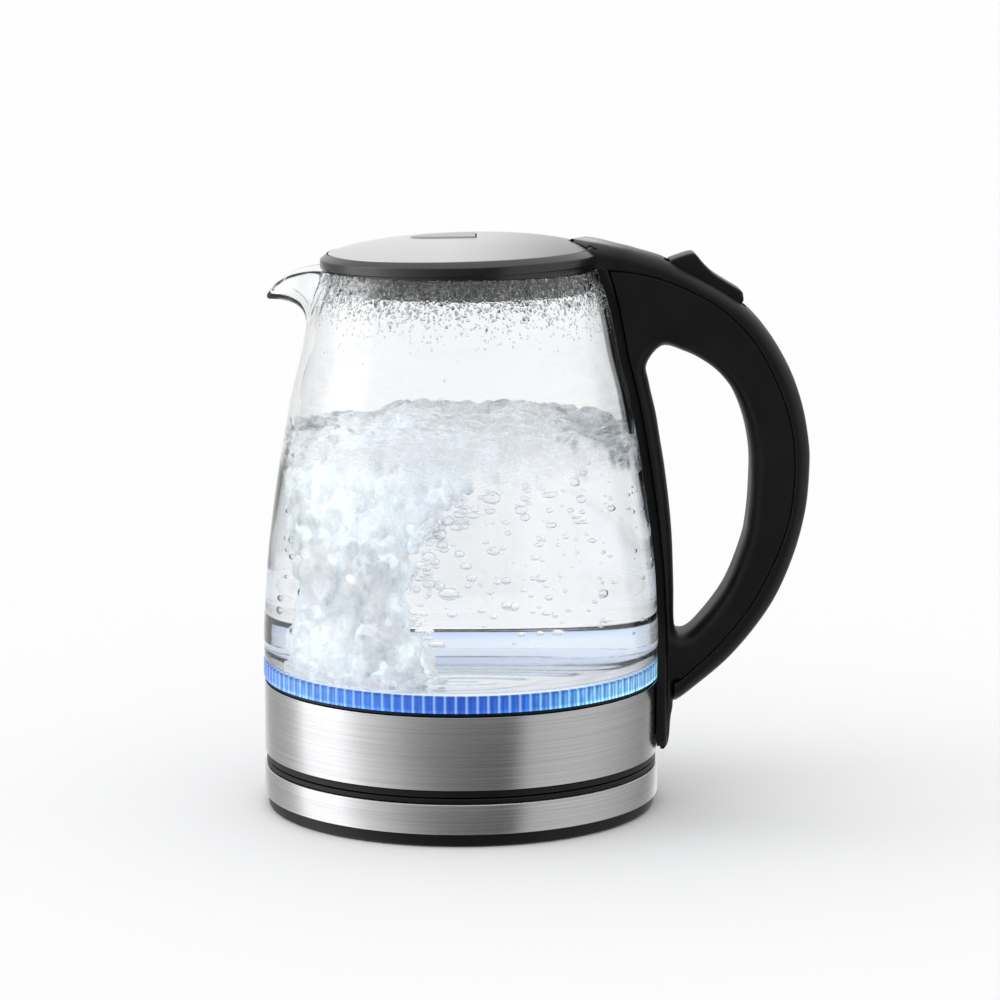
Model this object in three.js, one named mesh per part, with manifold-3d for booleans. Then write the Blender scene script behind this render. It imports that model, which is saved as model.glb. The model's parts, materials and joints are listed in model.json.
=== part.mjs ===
// Electric kettle: glass jug on a round cordless power base.
// Millimetres, +Z up. The origin is the centre of the power base's underside.
// The handle points along +X, the spout along -X, and everything but the cord
// gland is a mirror image about the plane y = 0.
import * as THREE from 'three';
import { mergeVertices } from 'three/addons/utils/BufferGeometryUtils.js';
import Module from 'manifold-3d';

const wasm = await Module();
wasm.setup();

// ---------------------------------------------------------------- driving dimensions

const GAP = 0.3;                 // room left between pieces that touch
const ROUND = 32;                // sides of the large round pieces
const MID_ROUND = 16;            // sides of the connector and of pieces its size
const SMALL_ROUND = 10;          // sides of pins, screws and their bosses
const SCREW_HOLE_R = 1.75;       // hole for a screw of radius 1.4

const BODY_R = 80;               // widest radius of the jug and of the base
const PAN_R = 78.6;              // black ring at the foot of the base
const BAND_BOTTOM = 5.3;         // steel band of the base
const BAND_TOP = 17.2;
const BASE_COVER_TOP = 19.4;
const SKIRT_BOTTOM = 22.7;       // steel skirt of the jug
const SKIRT_TOP = 51.6;
const LIGHT_BOTTOM = 53.2;       // translucent light ring
const LIGHT_TOP = 60;
const GLASS_WALL = 3;
const GLASS_NECK_R = 75.4;       // glass inside the light ring
const RIM_Z = 218.1;             // top edge of the glass
const RIM_R = 55.9;

const COLLAR_R = 56.1;           // black ring round the lid
const COLLAR_BORE_R = 53.4;
const COLLAR_BOTTOM = 218.4;
const COLLAR_EDGE = 222.9;       // outer and inner edge of the ring's bevel, over the axis
const COLLAR_TOP = 225.1;
const LID_SLOPE = 0.025;         // the lid and its ring rise towards the handle
const SKIRT_IN_R = 50.5;         // inner skirt of the ring, inside the glass
const SKIRT_OUT_R = 52.4;
const INNER_SKIRT_BOTTOM = 209;

const LID_R = 52.9;
const LID_RISE = 5.5;            // height of the lid's dome
const LID_SHEET = 0.8;
const HINGE_X = 51.3;            // lid hinge axis, along Y
const HINGE_Z = 226.2;
const NOSE_X = 43.7;             // tip of the handle's nose, which laps over the lid
const NOSE_HALF = 15.5;
const NOSE_SWING_R = 8.5;

const HANDLE_HALF = 14;          // half the handle's width
const HANDLE_WALL = 2.5;
const STRIP_T = 2.4;             // strip between the glass and the handle
const STRIP_HALF = 20;

const ROCKER_X = 103;            // rocker hinge axis, along Y
const ROCKER_Z = 208;
const ROCKER_HALF = 7.9;
const LEVER_X = 90;              // trip lever hinge axis, along Y
const LEVER_Z = 202.3;

const TAB_TIP_X = -20;           // D-shaped lid tab
const TAB_EDGE_X = 6;
const TAB_HALF = 10.5;
const TAB_TOP = 231.2;

// Glass outside, from the light ring to the rim: radius, height.
const GLASS_OUTSIDE = [
  [79.7, 60.3], [80, 62], [80, 72], [79.5, 81], [78.5, 98], [75.8, 121], [72.3, 144],
  [68.1, 166.6], [63.9, 183.6], [61.4, 197], [59.2, 207], [RIM_R, RIM_Z],
];

// Handle outlines in the plane y = 0: x, z.
const HANDLE_OUTSIDE = [
  [60, 227.6], [70, 225.3], [83, 221.2], [100, 212.2], [113, 203.6], [122.5, 193.4], [131.2, 179],
  [136.8, 164], [139.7, 149], [140.2, 138], [138.8, 120.6], [133.8, 101], [124.7, 81], [109.5, 61.3],
  [92.5, 46.4], [86.2, 42],
];
const SEAM = [
  [55.6, 218.1], [68, 216.8], [81, 213.6], [94, 208], [106, 200.4], [117, 188.8], [126.2, 172],
  [131.8, 155], [133.4, 138], [131.6, 119], [126, 101.4], [116.3, 82.6], [103, 66], [88.6, 52.4],
];
const FINGER_HOLE = [
  [80.5, 187.2], [89.3, 185], [96.5, 181.5], [103.7, 176], [109.6, 168], [114.1, 156.3], [116.3, 144],
  [116.4, 132], [115.6, 119], [113.4, 107], [106.2, 88.8], [94.5, 73.4], [88.6, 70.2], [86.2, 74],
  [85.8, 90], [85, 110], [83.6, 125], [81.6, 140], [79.9, 150], [78.2, 160], [75.3, 172.5], [74.4, 180],
];
const HANDLE_CAVITY = [
  [62, 223], [75, 219.6], [84, 216.4], [100, 208.6], [112, 199.4], [121, 189.4], [128.6, 176], [133.8, 162],
  [136.9, 148], [137.3, 138], [136, 122], [131, 103], [122, 84.4], [108, 66.4], [99, 60], [96.5, 66],
  [104, 74], [113, 88], [118.6, 106], [120.2, 130], [119.4, 146], [116.6, 159], [111.5, 171], [105, 179.4],
  [97, 184.8], [88, 189], [76, 190.6], [70, 193], [65, 206],
];

// ---------------------------------------------------------------- helpers: closed solids

function closedGeometry(source) {
  const bare = source.index ? source.toNonIndexed() : source.clone();
  bare.deleteAttribute('normal');
  bare.deleteAttribute('uv');
  const merged = mergeVertices(bare, 1e-4);
  const position = merged.attributes.position;
  const index = merged.index.array;
  const kept = [];
  let volume = 0;
  const a = new THREE.Vector3();
  const b = new THREE.Vector3();
  const c = new THREE.Vector3();
  for (let i = 0; i < index.length; i += 3) {
    const [p, q, r] = [index[i], index[i + 1], index[i + 2]];
    if (p === q || q === r || r === p) continue;
    kept.push(p, q, r);
    a.fromBufferAttribute(position, p);
    b.fromBufferAttribute(position, q);
    c.fromBufferAttribute(position, r);
    volume += a.dot(b.cross(c));
  }
  if (volume < 0) kept.reverse();
  merged.setIndex(kept);
  return merged;
}

function solid(source) {
  const geometry = closedGeometry(source);
  return new wasm.Manifold(new wasm.Mesh({
    numProp: 3,
    vertProperties: new Float32Array(geometry.attributes.position.array),
    triVerts: new Uint32Array(geometry.index.array),
  }));
}

function geometryOf(manifold) {
  const mesh = manifold.getMesh();
  const geometry = new THREE.BufferGeometry();
  geometry.setAttribute('position', new THREE.BufferAttribute(new Float32Array(mesh.vertProperties), 3));
  geometry.setIndex(new THREE.BufferAttribute(new Uint32Array(mesh.triVerts), 1));
  return geometry;
}

// Solid of revolution about Z. Points are [radius, height].
function lathe(points, sides = ROUND) {
  const onAxis = points[0][0] === 0 && points[points.length - 1][0] === 0;
  const profile = (onAxis ? points : [...points, points[0]]).map(([r, z]) => new THREE.Vector2(r, z));
  return solid(new THREE.LatheGeometry(profile, sides).rotateX(Math.PI / 2));
}

function outline(points, smooth = false) {
  const shape = new THREE.Shape();
  shape.moveTo(...points[0]);
  if (smooth) shape.splineThru([...points.slice(1), points[0]].map((p) => new THREE.Vector2(...p)));
  else points.slice(1).forEach((p) => shape.lineTo(...p));
  return shape;
}

// Slab of an x, z outline that runs from y = -half to y = half, with rounded long edges.
function slabY(shape, half, round = 0, low = -half) {
  const geometry = new THREE.ExtrudeGeometry(shape, {
    depth: half - low - 2 * round,
    curveSegments: 2,
    bevelEnabled: round > 0,
    bevelThickness: round,
    bevelSize: round,
    bevelOffset: -round,
    bevelSegments: 2,
  });
  return solid(geometry.rotateX(Math.PI / 2).translate(0, half - round, 0));
}

// Slab of a plan outline between two heights.
function slabZ(shape, bottom, top, curveSegments = 8) {
  const settings = { depth: top - bottom, bevelEnabled: false, curveSegments };
  return solid(new THREE.ExtrudeGeometry(shape, settings).translate(0, 0, bottom));
}

function box(x0, x1, y0, y1, z0, z1) {
  const geometry = new THREE.BoxGeometry(x1 - x0, y1 - y0, z1 - z0);
  return solid(geometry.translate((x0 + x1) / 2, (y0 + y1) / 2, (z0 + z1) / 2));
}

function rodZ(radius, x, y, bottom, top, sides = SMALL_ROUND) {
  const geometry = new THREE.CylinderGeometry(radius, radius, top - bottom, sides).rotateX(Math.PI / 2);
  return solid(geometry.translate(x, y, (bottom + top) / 2));
}

function rodY(radius, x, z, low, high, sides = SMALL_ROUND) {
  const geometry = new THREE.CylinderGeometry(radius, radius, high - low, sides);
  return solid(geometry.translate(x, (low + high) / 2, z));
}

function rodX(radius, y, z, low, high, sides = SMALL_ROUND) {
  const geometry = new THREE.CylinderGeometry(radius, radius, high - low, sides).rotateZ(Math.PI / 2);
  return solid(geometry.translate((low + high) / 2, y, z));
}

function union(...pieces) {
  return pieces.reduce((sum, piece) => sum.add(piece));
}

// Point at a radius and an angle in the plan, in degrees from +X.
function polar(radius, degrees) {
  const angle = THREE.MathUtils.degToRad(degrees);
  return [radius * Math.cos(angle), radius * Math.sin(angle)];
}

// Leans a piece so that it rises towards the handle, as the lid does.
function lean(manifold) {
  const geometry = geometryOf(manifold);
  geometry.applyMatrix4(new THREE.Matrix4().set(1, 0, 0, 0, 0, 1, 0, 0, LID_SLOPE, 0, 1, 0, 0, 0, 0, 1));
  return solid(geometry);
}

// Wedge of the plan about the direction -X or +X, used to open rings.
function wedge(halfDegrees, reach, bottom, top, side) {
  const corner = reach * Math.tan(THREE.MathUtils.degToRad(halfDegrees));
  return slabZ(outline([[0, 0], [side * reach, -corner], [side * reach, corner]]), bottom, top);
}

// ---------------------------------------------------------------- helpers: the object's group

const kettle = new THREE.Group();

const MATERIALS = {
  blackPlastic: { color: 0x17181a, roughness: 0.42, metalness: 0 },
  brushedSteel: { color: 0xb9b9bb, roughness: 0.32, metalness: 1 },
  springSteel: { color: 0x9a9ca0, roughness: 0.35, metalness: 1 },
  glass: { color: 0xe9f1f5, roughness: 0.03, metalness: 0, transparent: true, opacity: 0.25 },
  blueRing: { color: 0x2f8cff, roughness: 0.2, metalness: 0, emissive: 0x1f6fff },
  silicone: { color: 0xd5d8da, roughness: 0.6, metalness: 0 },
  rubber: { color: 0x222222, roughness: 0.8, metalness: 0 },
  aluminium: { color: 0xa9abad, roughness: 0.5, metalness: 1 },
  brass: { color: 0xc09a4a, roughness: 0.35, metalness: 1 },
  board: { color: 0x1d5c3a, roughness: 0.5, metalness: 0 },
  led: { color: 0xd8e6ff, roughness: 0.3, metalness: 0 },
  greyPlastic: { color: 0x8d9093, roughness: 0.4, metalness: 0 },
  switchPlastic: { color: 0xe6e2d6, roughness: 0.5, metalness: 0 },
  wire: { color: 0xb5402e, roughness: 0.5, metalness: 0 },
};

function addPart(name, manifold, material) {
  const mesh = new THREE.Mesh(geometryOf(manifold), new THREE.MeshStandardMaterial(MATERIALS[material]));
  mesh.name = name;
  kettle.add(mesh);
}

// ---------------------------------------------------------------- shared shapes

function glassInside() {
  const inside = GLASS_OUTSIDE.slice(3).map(([r, z]) => [r - GLASS_WALL, z]);
  const neck = GLASS_NECK_R - GLASS_WALL;
  return [[neck, 50], [neck, 59], [76.6, 64.5], [77, 70], ...inside, [RIM_R - GLASS_WALL, RIM_Z + 5]];
}

// Everything inside the jug's outer wall, grown outwards by an offset.
function envelope(offset, bottom = 10, top = 221) {
  const wall = GLASS_OUTSIDE.slice(1).map(([r, z]) => [r + offset, z]);
  const outer = [[0, bottom], [BODY_R + 0.1 + offset, bottom], [BODY_R + 0.1 + offset, 61], ...wall];
  return lathe([...outer, [RIM_R + offset, top], [0, top]]);
}

// Countersunk-head screw pointing up along Z.
function screwZ(x, y, headBottom, tip) {
  const head = new THREE.CylinderGeometry(2.9, 2.9, 1.2, SMALL_ROUND).rotateX(Math.PI / 2);
  const body = solid(head.translate(x, y, headBottom + 0.6)).add(rodZ(1.4, x, y, headBottom + 1, tip, 6));
  return body.subtract(box(x - 1.9, x + 1.9, y - 0.35, y + 0.35, headBottom - 1, headBottom + 0.6));
}

// ---------------------------------------------------------------- power base

const BASE_SCREW_R = 60;
const BASE_SCREW_ANGLES = [30, 150, 270];
const FOOT_R = 67;
const FOOT_ANGLES = [90, 210, 330];
const GLAND_Z = 10;

function basePan() {
  const pan = lathe([
    [0, 0], [PAN_R - 1, 0], [PAN_R, 1], [PAN_R, 5], [78.3, 5], [78.3, 16.2], [76.6, 16.2], [76.6, 2.6],
    [0, 2.6],
  ]);
  let part = pan;
  for (const degrees of BASE_SCREW_ANGLES) {
    const [x, y] = polar(BASE_SCREW_R, degrees);
    const hole = rodZ(3.3, x, y, -1, 3.1).add(rodZ(SCREW_HOLE_R, x, y, 3, 6, 8));
    part = part.add(rodZ(5.6, x, y, 2, 5.4)).subtract(hole);
  }
  for (const degrees of FOOT_ANGLES) {
    part = part.subtract(rodZ(6.3, ...polar(FOOT_R, degrees), -1, 1.7));
  }
  const glandHole = rodY(5.8, 0, GLAND_Z, 70, 85);
  return part.subtract(glandHole);
}

function baseSteelBand() {
  const band = lathe([
    [BODY_R - 0.8, BAND_BOTTOM], [BODY_R, BAND_BOTTOM], [BODY_R, BAND_TOP - 0.4], [BODY_R - 0.4, BAND_TOP],
    [78.4, BAND_TOP], [78.4, BAND_TOP - 0.7], [BODY_R - 0.8, BAND_TOP - 0.7],
  ]);
  return band.subtract(rodY(5.8, 0, GLAND_Z, 70, 85));
}

function baseTopCover() {
  let part = lathe([
    [13.4, 16.6], [76, 16.6], [76, 17.5], [79.2, 17.5], [79.2, BASE_COVER_TOP - 0.4],
    [78.6, BASE_COVER_TOP], [75, BASE_COVER_TOP], [72, 18.4], [13.4, 18.4],
  ]);
  for (const degrees of BASE_SCREW_ANGLES) {
    const [x, y] = polar(BASE_SCREW_R, degrees);
    part = part.add(rodZ(4, x, y, 5.8, 17)).subtract(rodZ(SCREW_HOLE_R, x, y, 5, 14.5, 8));
  }
  return part;
}

// Round cordless connector: a tower with an annular slot and a centre bore.
function baseConnector() {
  const tower = lathe([[0, 6], [17, 6], [17, 8.5], [13, 8.5], [13, 26.4], [12.4, 27], [0, 27]], MID_ROUND);
  const flange = lathe([[12, 13.6], [17.5, 13.6], [17.5, 16.2], [12, 16.2]], MID_ROUND);
  const slot = lathe([[7, 15], [11.2, 15], [11.2, 28], [7, 28]], MID_ROUND);
  return tower.add(flange).subtract(slot).subtract(rodZ(4.6, 0, 0, 15, 28));
}

function contactRing(inner) {
  return lathe([[inner, 15.3], [inner + 0.6, 15.3], [inner + 0.6, 25], [inner, 25]], MID_ROUND);
}

function cordGland() {
  const body = new THREE.LatheGeometry(
    [[3.6, 72], [6.2, 72], [6.2, 75.6], [5.5, 75.6], [5.5, 79.4], [5, 79.8], [3.6, 79.8], [3.6, 72]]
      .map(([r, y]) => new THREE.Vector2(r, y)), SMALL_ROUND);
  return solid(body.translate(0, 0, GLAND_Z));
}

addPart('base_pan', basePan(), 'blackPlastic');
addPart('base_steel_band', baseSteelBand(), 'brushedSteel');
addPart('base_top_cover', baseTopCover(), 'blackPlastic');
addPart('base_connector', baseConnector(), 'blackPlastic');
addPart('live_contact_ring', contactRing(10.2), 'brass');
addPart('neutral_contact_ring', contactRing(7.4), 'brass');
addPart('earth_pin', rodZ(1.8, 0, 0, 15.3, 25.5, 16), 'brass');
addPart('cord_gland', cordGland(), 'rubber');
FOOT_ANGLES.forEach((degrees, i) => {
  addPart(`foot_pad_${i + 1}`, rodZ(6, ...polar(FOOT_R, degrees), 0, 1.4), 'rubber');
});
BASE_SCREW_ANGLES.forEach((degrees, i) => {
  addPart(`base_screw_${i + 1}`, screwZ(...polar(BASE_SCREW_R, degrees), 1.5, 13), 'springSteel');
});

// ---------------------------------------------------------------- jug side of the connector

// A round socket over the tower; a ring of it reaches into the tower's slot.
function jugConnector() {
  return lathe([
    [2.4, 28.2], [2.4, 20.5], [4.2, 20.5], [4.2, 27.7], [13.6, 27.7], [13.6, 20.8], [18.6, 20.8],
    [18.6, 24.2], [20.6, 24.5], [20.6, 26], [18.6, 26], [18.6, 29.6], [0.9, 29.6], [0.9, 28.2],
  ], MID_ROUND);
}

addPart('jug_connector', jugConnector(), 'blackPlastic');
addPart('jug_contact_ring', lathe([[8.7, 18], [9.5, 18], [9.5, 27.4], [8.7, 27.4]], MID_ROUND), 'brass');

// ---------------------------------------------------------------- jug bottom

const BOTTOM_SCREW_R = 71;
const BOTTOM_SCREW_ANGLES = [60, 180, 300];
const WIRE_PORT = box(70, 90, -4.6, 4.6, 41.2, 48.6);
const HANDLE_SCREW_HEIGHTS = [30, 37];

function handleScrewHoles(radius) {
  return union(...HANDLE_SCREW_HEIGHTS.map((z) => rodX(radius, 0, z, 70, 84.6, 8)));
}

function jugBottomCover() {
  let part = lathe([
    [21, 22.2], [74.8, 22.2], [76, 19.9], [79.2, 19.9], [79.2, 22.4], [76.5, 22.4], [75.5, 24.1],
    [21, 24.1],
  ]);
  for (const degrees of BOTTOM_SCREW_ANGLES) {
    part = part.subtract(rodZ(SCREW_HOLE_R, ...polar(BOTTOM_SCREW_R, degrees), 20, 26, 8));
  }
  return part;
}

function heaterHousing() {
  let part = lathe([
    [74.5, 24.4], [77, 24.4], [77, 51.9], [79.3, 51.9], [79.3, 52.9], [75.7, 52.9], [75.7, 49.3],
    [71.5, 49.3], [71.5, 47.5], [74.5, 46.5],
  ]);
  for (const degrees of BOTTOM_SCREW_ANGLES) {
    const [x, y] = polar(BOTTOM_SCREW_R, degrees);
    part = part.add(rodZ(4.8, x, y, 24.4, 40)).subtract(rodZ(SCREW_HOLE_R, x, y, 24, 36, 8));
  }
  return part.subtract(WIRE_PORT).subtract(handleScrewHoles(1.8)).subtract(ledWindows());
}

const LED_ANGLES = [90, 210, 330];

function ledWindows() {
  return union(...LED_ANGLES.map((degrees) => rodZ(0.7, ...polar(78.1, degrees), 50, 54, 8)));
}

function lightRing() {
  const [inner, outer] = [77.2, BODY_R + 0.1];
  return lathe([[inner, LIGHT_BOTTOM], [outer, LIGHT_BOTTOM], [outer, LIGHT_TOP], [inner, LIGHT_TOP]]);
}

function steelSkirt() {
  const skirt = lathe([[79.3, SKIRT_BOTTOM], [79.8, SKIRT_BOTTOM], [79.8, SKIRT_TOP], [79.3, SKIRT_TOP]]);
  return skirt.subtract(WIRE_PORT).subtract(handleScrewHoles(1.8));
}

function ledBoard() {
  const ring = lathe([[77.3, 49.2], [79, 49.2], [79, 50.2], [77.3, 50.2]]);
  return ring.subtract(box(60, 90, -6, 6, 45, 55));
}

function led(degrees) {
  const geometry = new THREE.BoxGeometry(1.4, 2.6, 0.9);
  geometry.translate(78.1, 0, 51).rotateZ(THREE.MathUtils.degToRad(degrees));
  return solid(geometry);
}

function heaterPlate() {
  return lathe([
    [0, 49.8], [68, 49.8], [70, 49.6], [75.4, 49.6], [75.4, 50.5], [70.4, 50.5], [68.4, 50.7], [0, 50.7],
  ]);
}

class HorseshoePath extends THREE.Curve {
  getPoint(t) {
    const angle = THREE.MathUtils.degToRad(25 + 310 * t);
    const drop = 3 * Math.max(0, Math.abs(2 * t - 1) - 0.9) / 0.1;
    return new THREE.Vector3(42 * Math.cos(angle), 42 * Math.sin(angle), 42.4 - drop);
  }
}

function roundTube(path, radius, steps, sides) {
  const section = new THREE.Shape();
  section.absarc(0, 0, radius, 0, 2 * Math.PI);
  return solid(new THREE.ExtrudeGeometry(section, { steps, extrudePath: path, curveSegments: sides / 2 }));
}

addPart('jug_bottom_cover', jugBottomCover(), 'blackPlastic');
addPart('steel_skirt', steelSkirt(), 'brushedSteel');
addPart('heater_housing', heaterHousing(), 'blackPlastic');
addPart('light_ring', lightRing(), 'blueRing');
addPart('led_board', ledBoard(), 'board');
LED_ANGLES.forEach((degrees, i) => addPart(`led_${i + 1}`, led(degrees), 'led'));
addPart('glass_seal', lathe([[72, 50.8], [75.3, 50.8], [75.3, 53.2], [72, 53.2]]), 'silicone');
addPart('heater_plate', heaterPlate(), 'springSteel');
addPart('heat_spreader', rodZ(50, 0, 0, 46.2, 49.4, ROUND), 'aluminium');
addPart('heating_element', roundTube(new HorseshoePath(), 3.3, 20, 8), 'aluminium');
addPart('thermostat_control', rodZ(21, 0, 0, 30, 41, MID_ROUND), 'switchPlastic');
[-10, 10].forEach((y, i) => {
  addPart(`dry_boil_disc_${i + 1}`, rodZ(6.5, 0, y, 41.4, 41.9, MID_ROUND), 'springSteel');
});
BOTTOM_SCREW_ANGLES.forEach((degrees, i) => {
  addPart(`bottom_screw_${i + 1}`, screwZ(...polar(BOTTOM_SCREW_R, degrees), 20.7, 34), 'springSteel');
});

// ---------------------------------------------------------------- glass jug

// The spout is a beak: a trumpet along -X, narrow in Y, cut open along its lip.
const SPOUT_AXIS_Z = 218;
const SPOUT_TIP_X = -77.3;
const SPOUT_DEPTH = [
  [-40, 34], [-58, 29], [-60.8, 24], [-62.5, 18.6], [-66, 15.6], [-71, 14], [-78.5, 12.8],
];

function trumpet(thinner, narrow) {
  const profile = SPOUT_DEPTH.map(([x, depth]) => new THREE.Vector2(depth - thinner, x));
  const closed = [new THREE.Vector2(0, -40), ...profile, new THREE.Vector2(0, SPOUT_DEPTH.at(-1)[0])];
  const geometry = new THREE.LatheGeometry(closed, MID_ROUND).rotateZ(-Math.PI / 2).scale(1, narrow, 1);
  return solid(geometry.translate(0, 0, SPOUT_AXIS_Z));
}

function aboveLip() {
  return slabY(outline([
    [SPOUT_TIP_X - 6, 200], [SPOUT_TIP_X, 206], [-75.4, 209], [-72.2, 211.8], [-68, 214.6], [-62, 216.9],
    [-56, RIM_Z], [0, RIM_Z], [0, 260], [SPOUT_TIP_X - 6, 260],
  ]), 40);
}

function glassJug() {
  const neck = [[GLASS_NECK_R, 53.5], [GLASS_NECK_R, 60.3]];
  const outside = lathe([[0, 53.5], ...neck, ...GLASS_OUTSIDE, [0, RIM_Z]]);
  const inside = lathe([[0, 50], ...glassInside(), [0, RIM_Z + 5]]);
  const beak = trumpet(0, 0.6).subtract(box(-60, 0, -60, 60, 150, 202));
  const channel = trumpet(2.8, 0.52);
  return outside.add(beak.subtract(aboveLip())).subtract(inside).subtract(channel);
}

addPart('glass_jug', glassJug(), 'glass');

// ---------------------------------------------------------------- collar, handle cover and grip

function nosePlan(margin) {
  const front = NOSE_X - 1.2 * margin;
  const side = NOSE_HALF + margin;
  const shoulder = 50.6 - 0.6 * margin;
  return outline([
    [front, -0.8], [shoulder, -side], [60, -side], [60, side], [shoulder, side], [front, 0.8],
  ]);
}

function collarRing() {
  const section = [
    [COLLAR_BORE_R, 210], [COLLAR_R, 210], [COLLAR_R, COLLAR_EDGE], [COLLAR_BORE_R, COLLAR_TOP],
  ];
  const ring = lean(lathe(section));
  const above = box(-70, 70, -70, 70, COLLAR_BOTTOM, 240);
  const skirt = lathe([
    [SKIRT_IN_R, INNER_SKIRT_BOTTOM], [SKIRT_OUT_R, INNER_SKIRT_BOTTOM], [SKIRT_OUT_R, COLLAR_BOTTOM],
    [54.5, COLLAR_BOTTOM], [54.5, COLLAR_BOTTOM + 0.8], [SKIRT_IN_R, COLLAR_BOTTOM + 0.8],
  ]);
  const spoutSide = wedge(50, 60, INNER_SKIRT_BOTTOM - 1, COLLAR_BOTTOM - 0.7, -1);
  return ring.intersect(above).add(skirt.subtract(spoutSide));
}

// The nose that laps over the lid, arched across. It is rounded about the hinge axis below,
// so that the lid's plug swings past it.
function nose() {
  const side = slabY(outline([
    [40, COLLAR_BOTTOM], [40, 229.7], [52, 229.3], [64, 226.8], [64, COLLAR_BOTTOM],
  ]), 20);
  const arch = rodX(34, 0, 229.6 - 34, 30, 70, 48);
  const swing = rodY(NOSE_SWING_R, HINGE_X, HINGE_Z, -20, 20, ROUND)
    .add(box(HINGE_X, 80, -20, 20, 210, 240));
  return slabZ(nosePlan(0), COLLAR_BOTTOM, 235).intersect(side).intersect(arch).intersect(swing);
}

function hingePocket() {
  const pockets = [-1, 1].map((side) => {
    const [low, high] = side > 0 ? [11.4, 15.8] : [-15.8, -11.4];
    return rodY(2.6, HINGE_X, HINGE_Z, low, high).add(box(42, HINGE_X, low, high, HINGE_Z - 4.6, 235));
  });
  return union(...pockets);
}

function splinePoints(points, perSpan = 2) {
  const curve = new THREE.SplineCurve(points.map((p) => new THREE.Vector2(...p)));
  return curve.getPoints(points.length * perSpan).map((p) => [p.x, p.y]);
}

// Moves an open outline sideways, to the left of its direction of travel.
function offsetLine(points, distance) {
  return points.map(([x, z], i) => {
    const [x0, z0] = points[Math.max(i - 1, 0)];
    const [x1, z1] = points[Math.min(i + 1, points.length - 1)];
    const length = Math.hypot(x1 - x0, z1 - z0);
    return [x - distance * (z1 - z0) / length, z + distance * (x1 - x0) / length];
  });
}

function handleCavity() {
  return slabY(outline(HANDLE_CAVITY, true), HANDLE_HALF - HANDLE_WALL);
}

function rockerSlot() {
  return slabY(outline([
    [81.2, 226], [81.2, 215], [86, 203], [112, 199.6], [114.2, 203.5], [114.2, 216], [100, 226],
  ]), ROCKER_HALF + 0.5);
}

function collarCover() {
  const seam = offsetLine(splinePoints(SEAM), GAP + 0.05);
  const back = [...splinePoints(HANDLE_OUTSIDE), ...seam.reverse(), [55.6, 226]];
  const shell = slabY(outline(back), HANDLE_HALF);
  return union(shell, nose(), collarRing())
    .subtract(handleCavity())
    .subtract(rockerSlot())
    .subtract(hingePocket())
    .subtract(rodY(1.2, HINGE_X, HINGE_Z, -17, 17, 16))
    .subtract(rodY(1.5, ROCKER_X, ROCKER_Z, -13.1, 13.1, 16))
    .subtract(envelope(GAP, 10, COLLAR_BOTTOM));
}

function handleGrip() {
  const seam = splinePoints(SEAM);
  const foot = [[86, 51], [85.7, 41], [84.9, 36], [84.2, 27], [82.8, 23.4], [80.5, 22.6], [70, 22.6]];
  const edge = [...seam, ...foot, [70, 60], [60, 110], [50, 180], [46, 218.1]];
  const block = slabY(outline(edge), HANDLE_HALF);
  const hole = slabY(outline(FINGER_HOLE, true), 20);
  const wireGroove = envelope(STRIP_T + 2.7).intersect(box(40, 95, -4.6, 4.6, 41.2, 194))
    .add(box(60, 71, -4.6, 4.6, 181, 190))
    .add(box(60, 78, -4.6, 4.6, 188.5, 194));
  return block.subtract(hole)
    .subtract(handleCavity())
    .subtract(envelope(STRIP_T + 2 * GAP))
    .subtract(wireGroove)
    .subtract(handleScrewHoles(1.6));
}

// Strip on the glass and skirt, under the handle.
function handleStrip() {
  const width = outline([
    [-STRIP_HALF, 217.6], [-STRIP_HALF, 75], [-23, 50], [-23, 28], [-20, 25],
    [20, 25], [23, 28], [23, 50], [STRIP_HALF, 75], [STRIP_HALF, 217.6],
  ]);
  const geometry = new THREE.ExtrudeGeometry(width, { depth: 60, bevelEnabled: false });
  geometry.rotateX(Math.PI / 2).rotateZ(Math.PI / 2).translate(35, 0, 0);
  const sleeve = envelope(STRIP_T + GAP).subtract(envelope(GAP, 5, 225));
  return sleeve.intersect(solid(geometry)).subtract(WIRE_PORT).subtract(handleScrewHoles(1.8));
}

addPart('collar_cover', collarCover(), 'blackPlastic');
addPart('handle_grip', handleGrip(), 'blackPlastic');
addPart('handle_strip', handleStrip(), 'blackPlastic');
HANDLE_SCREW_HEIGHTS.forEach((z, i) => {
  const screw = rodX(2.8, 0, z, 72.4, 73.8).add(rodX(1.4, 0, z, 73.6, 84.2, 8));
  addPart(`handle_screw_${i + 1}`, screw, 'springSteel');
});

// ---------------------------------------------------------------- spout filter

function filterArc(inner, outer, bottom, top, halfDegrees) {
  return lathe([[inner, bottom], [outer, bottom], [outer, top], [inner, top]])
    .intersect(wedge(halfDegrees, 60, bottom - 1, top + 1, -1));
}

function filterFrame() {
  let part = filterArc(51, 52.4, 209, 217.3, 48.5);
  for (const degrees of [-36, -12, 12, 36]) {
    const geometry = new THREE.BoxGeometry(8, 16, 5.2);
    geometry.translate(-52, 0, 213.2).rotateZ(THREE.MathUtils.degToRad(degrees));
    part = part.subtract(solid(geometry));
  }
  return part;
}

addPart('spout_filter_frame', filterFrame(), 'blackPlastic');
addPart('spout_filter_mesh', filterArc(50.4, 50.7, 209.4, 216.9, 47), 'springSteel');

// ---------------------------------------------------------------- switch in the handle

function steamSwitch() {
  const body = box(80.4, 97, -8, 8, 190.6, 198.6);
  const ears = [-1, 1].map((side) => {
    const [low, high] = side > 0 ? [3.6, 5.4] : [-5.4, -3.6];
    const post = box(LEVER_X - 2.4, LEVER_X + 2.4, low, high, 198, LEVER_Z + 1.6);
    return post.subtract(rodY(1.2, LEVER_X, LEVER_Z, low - 1, high + 1, 16));
  });
  return union(body, ...ears);
}

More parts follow.
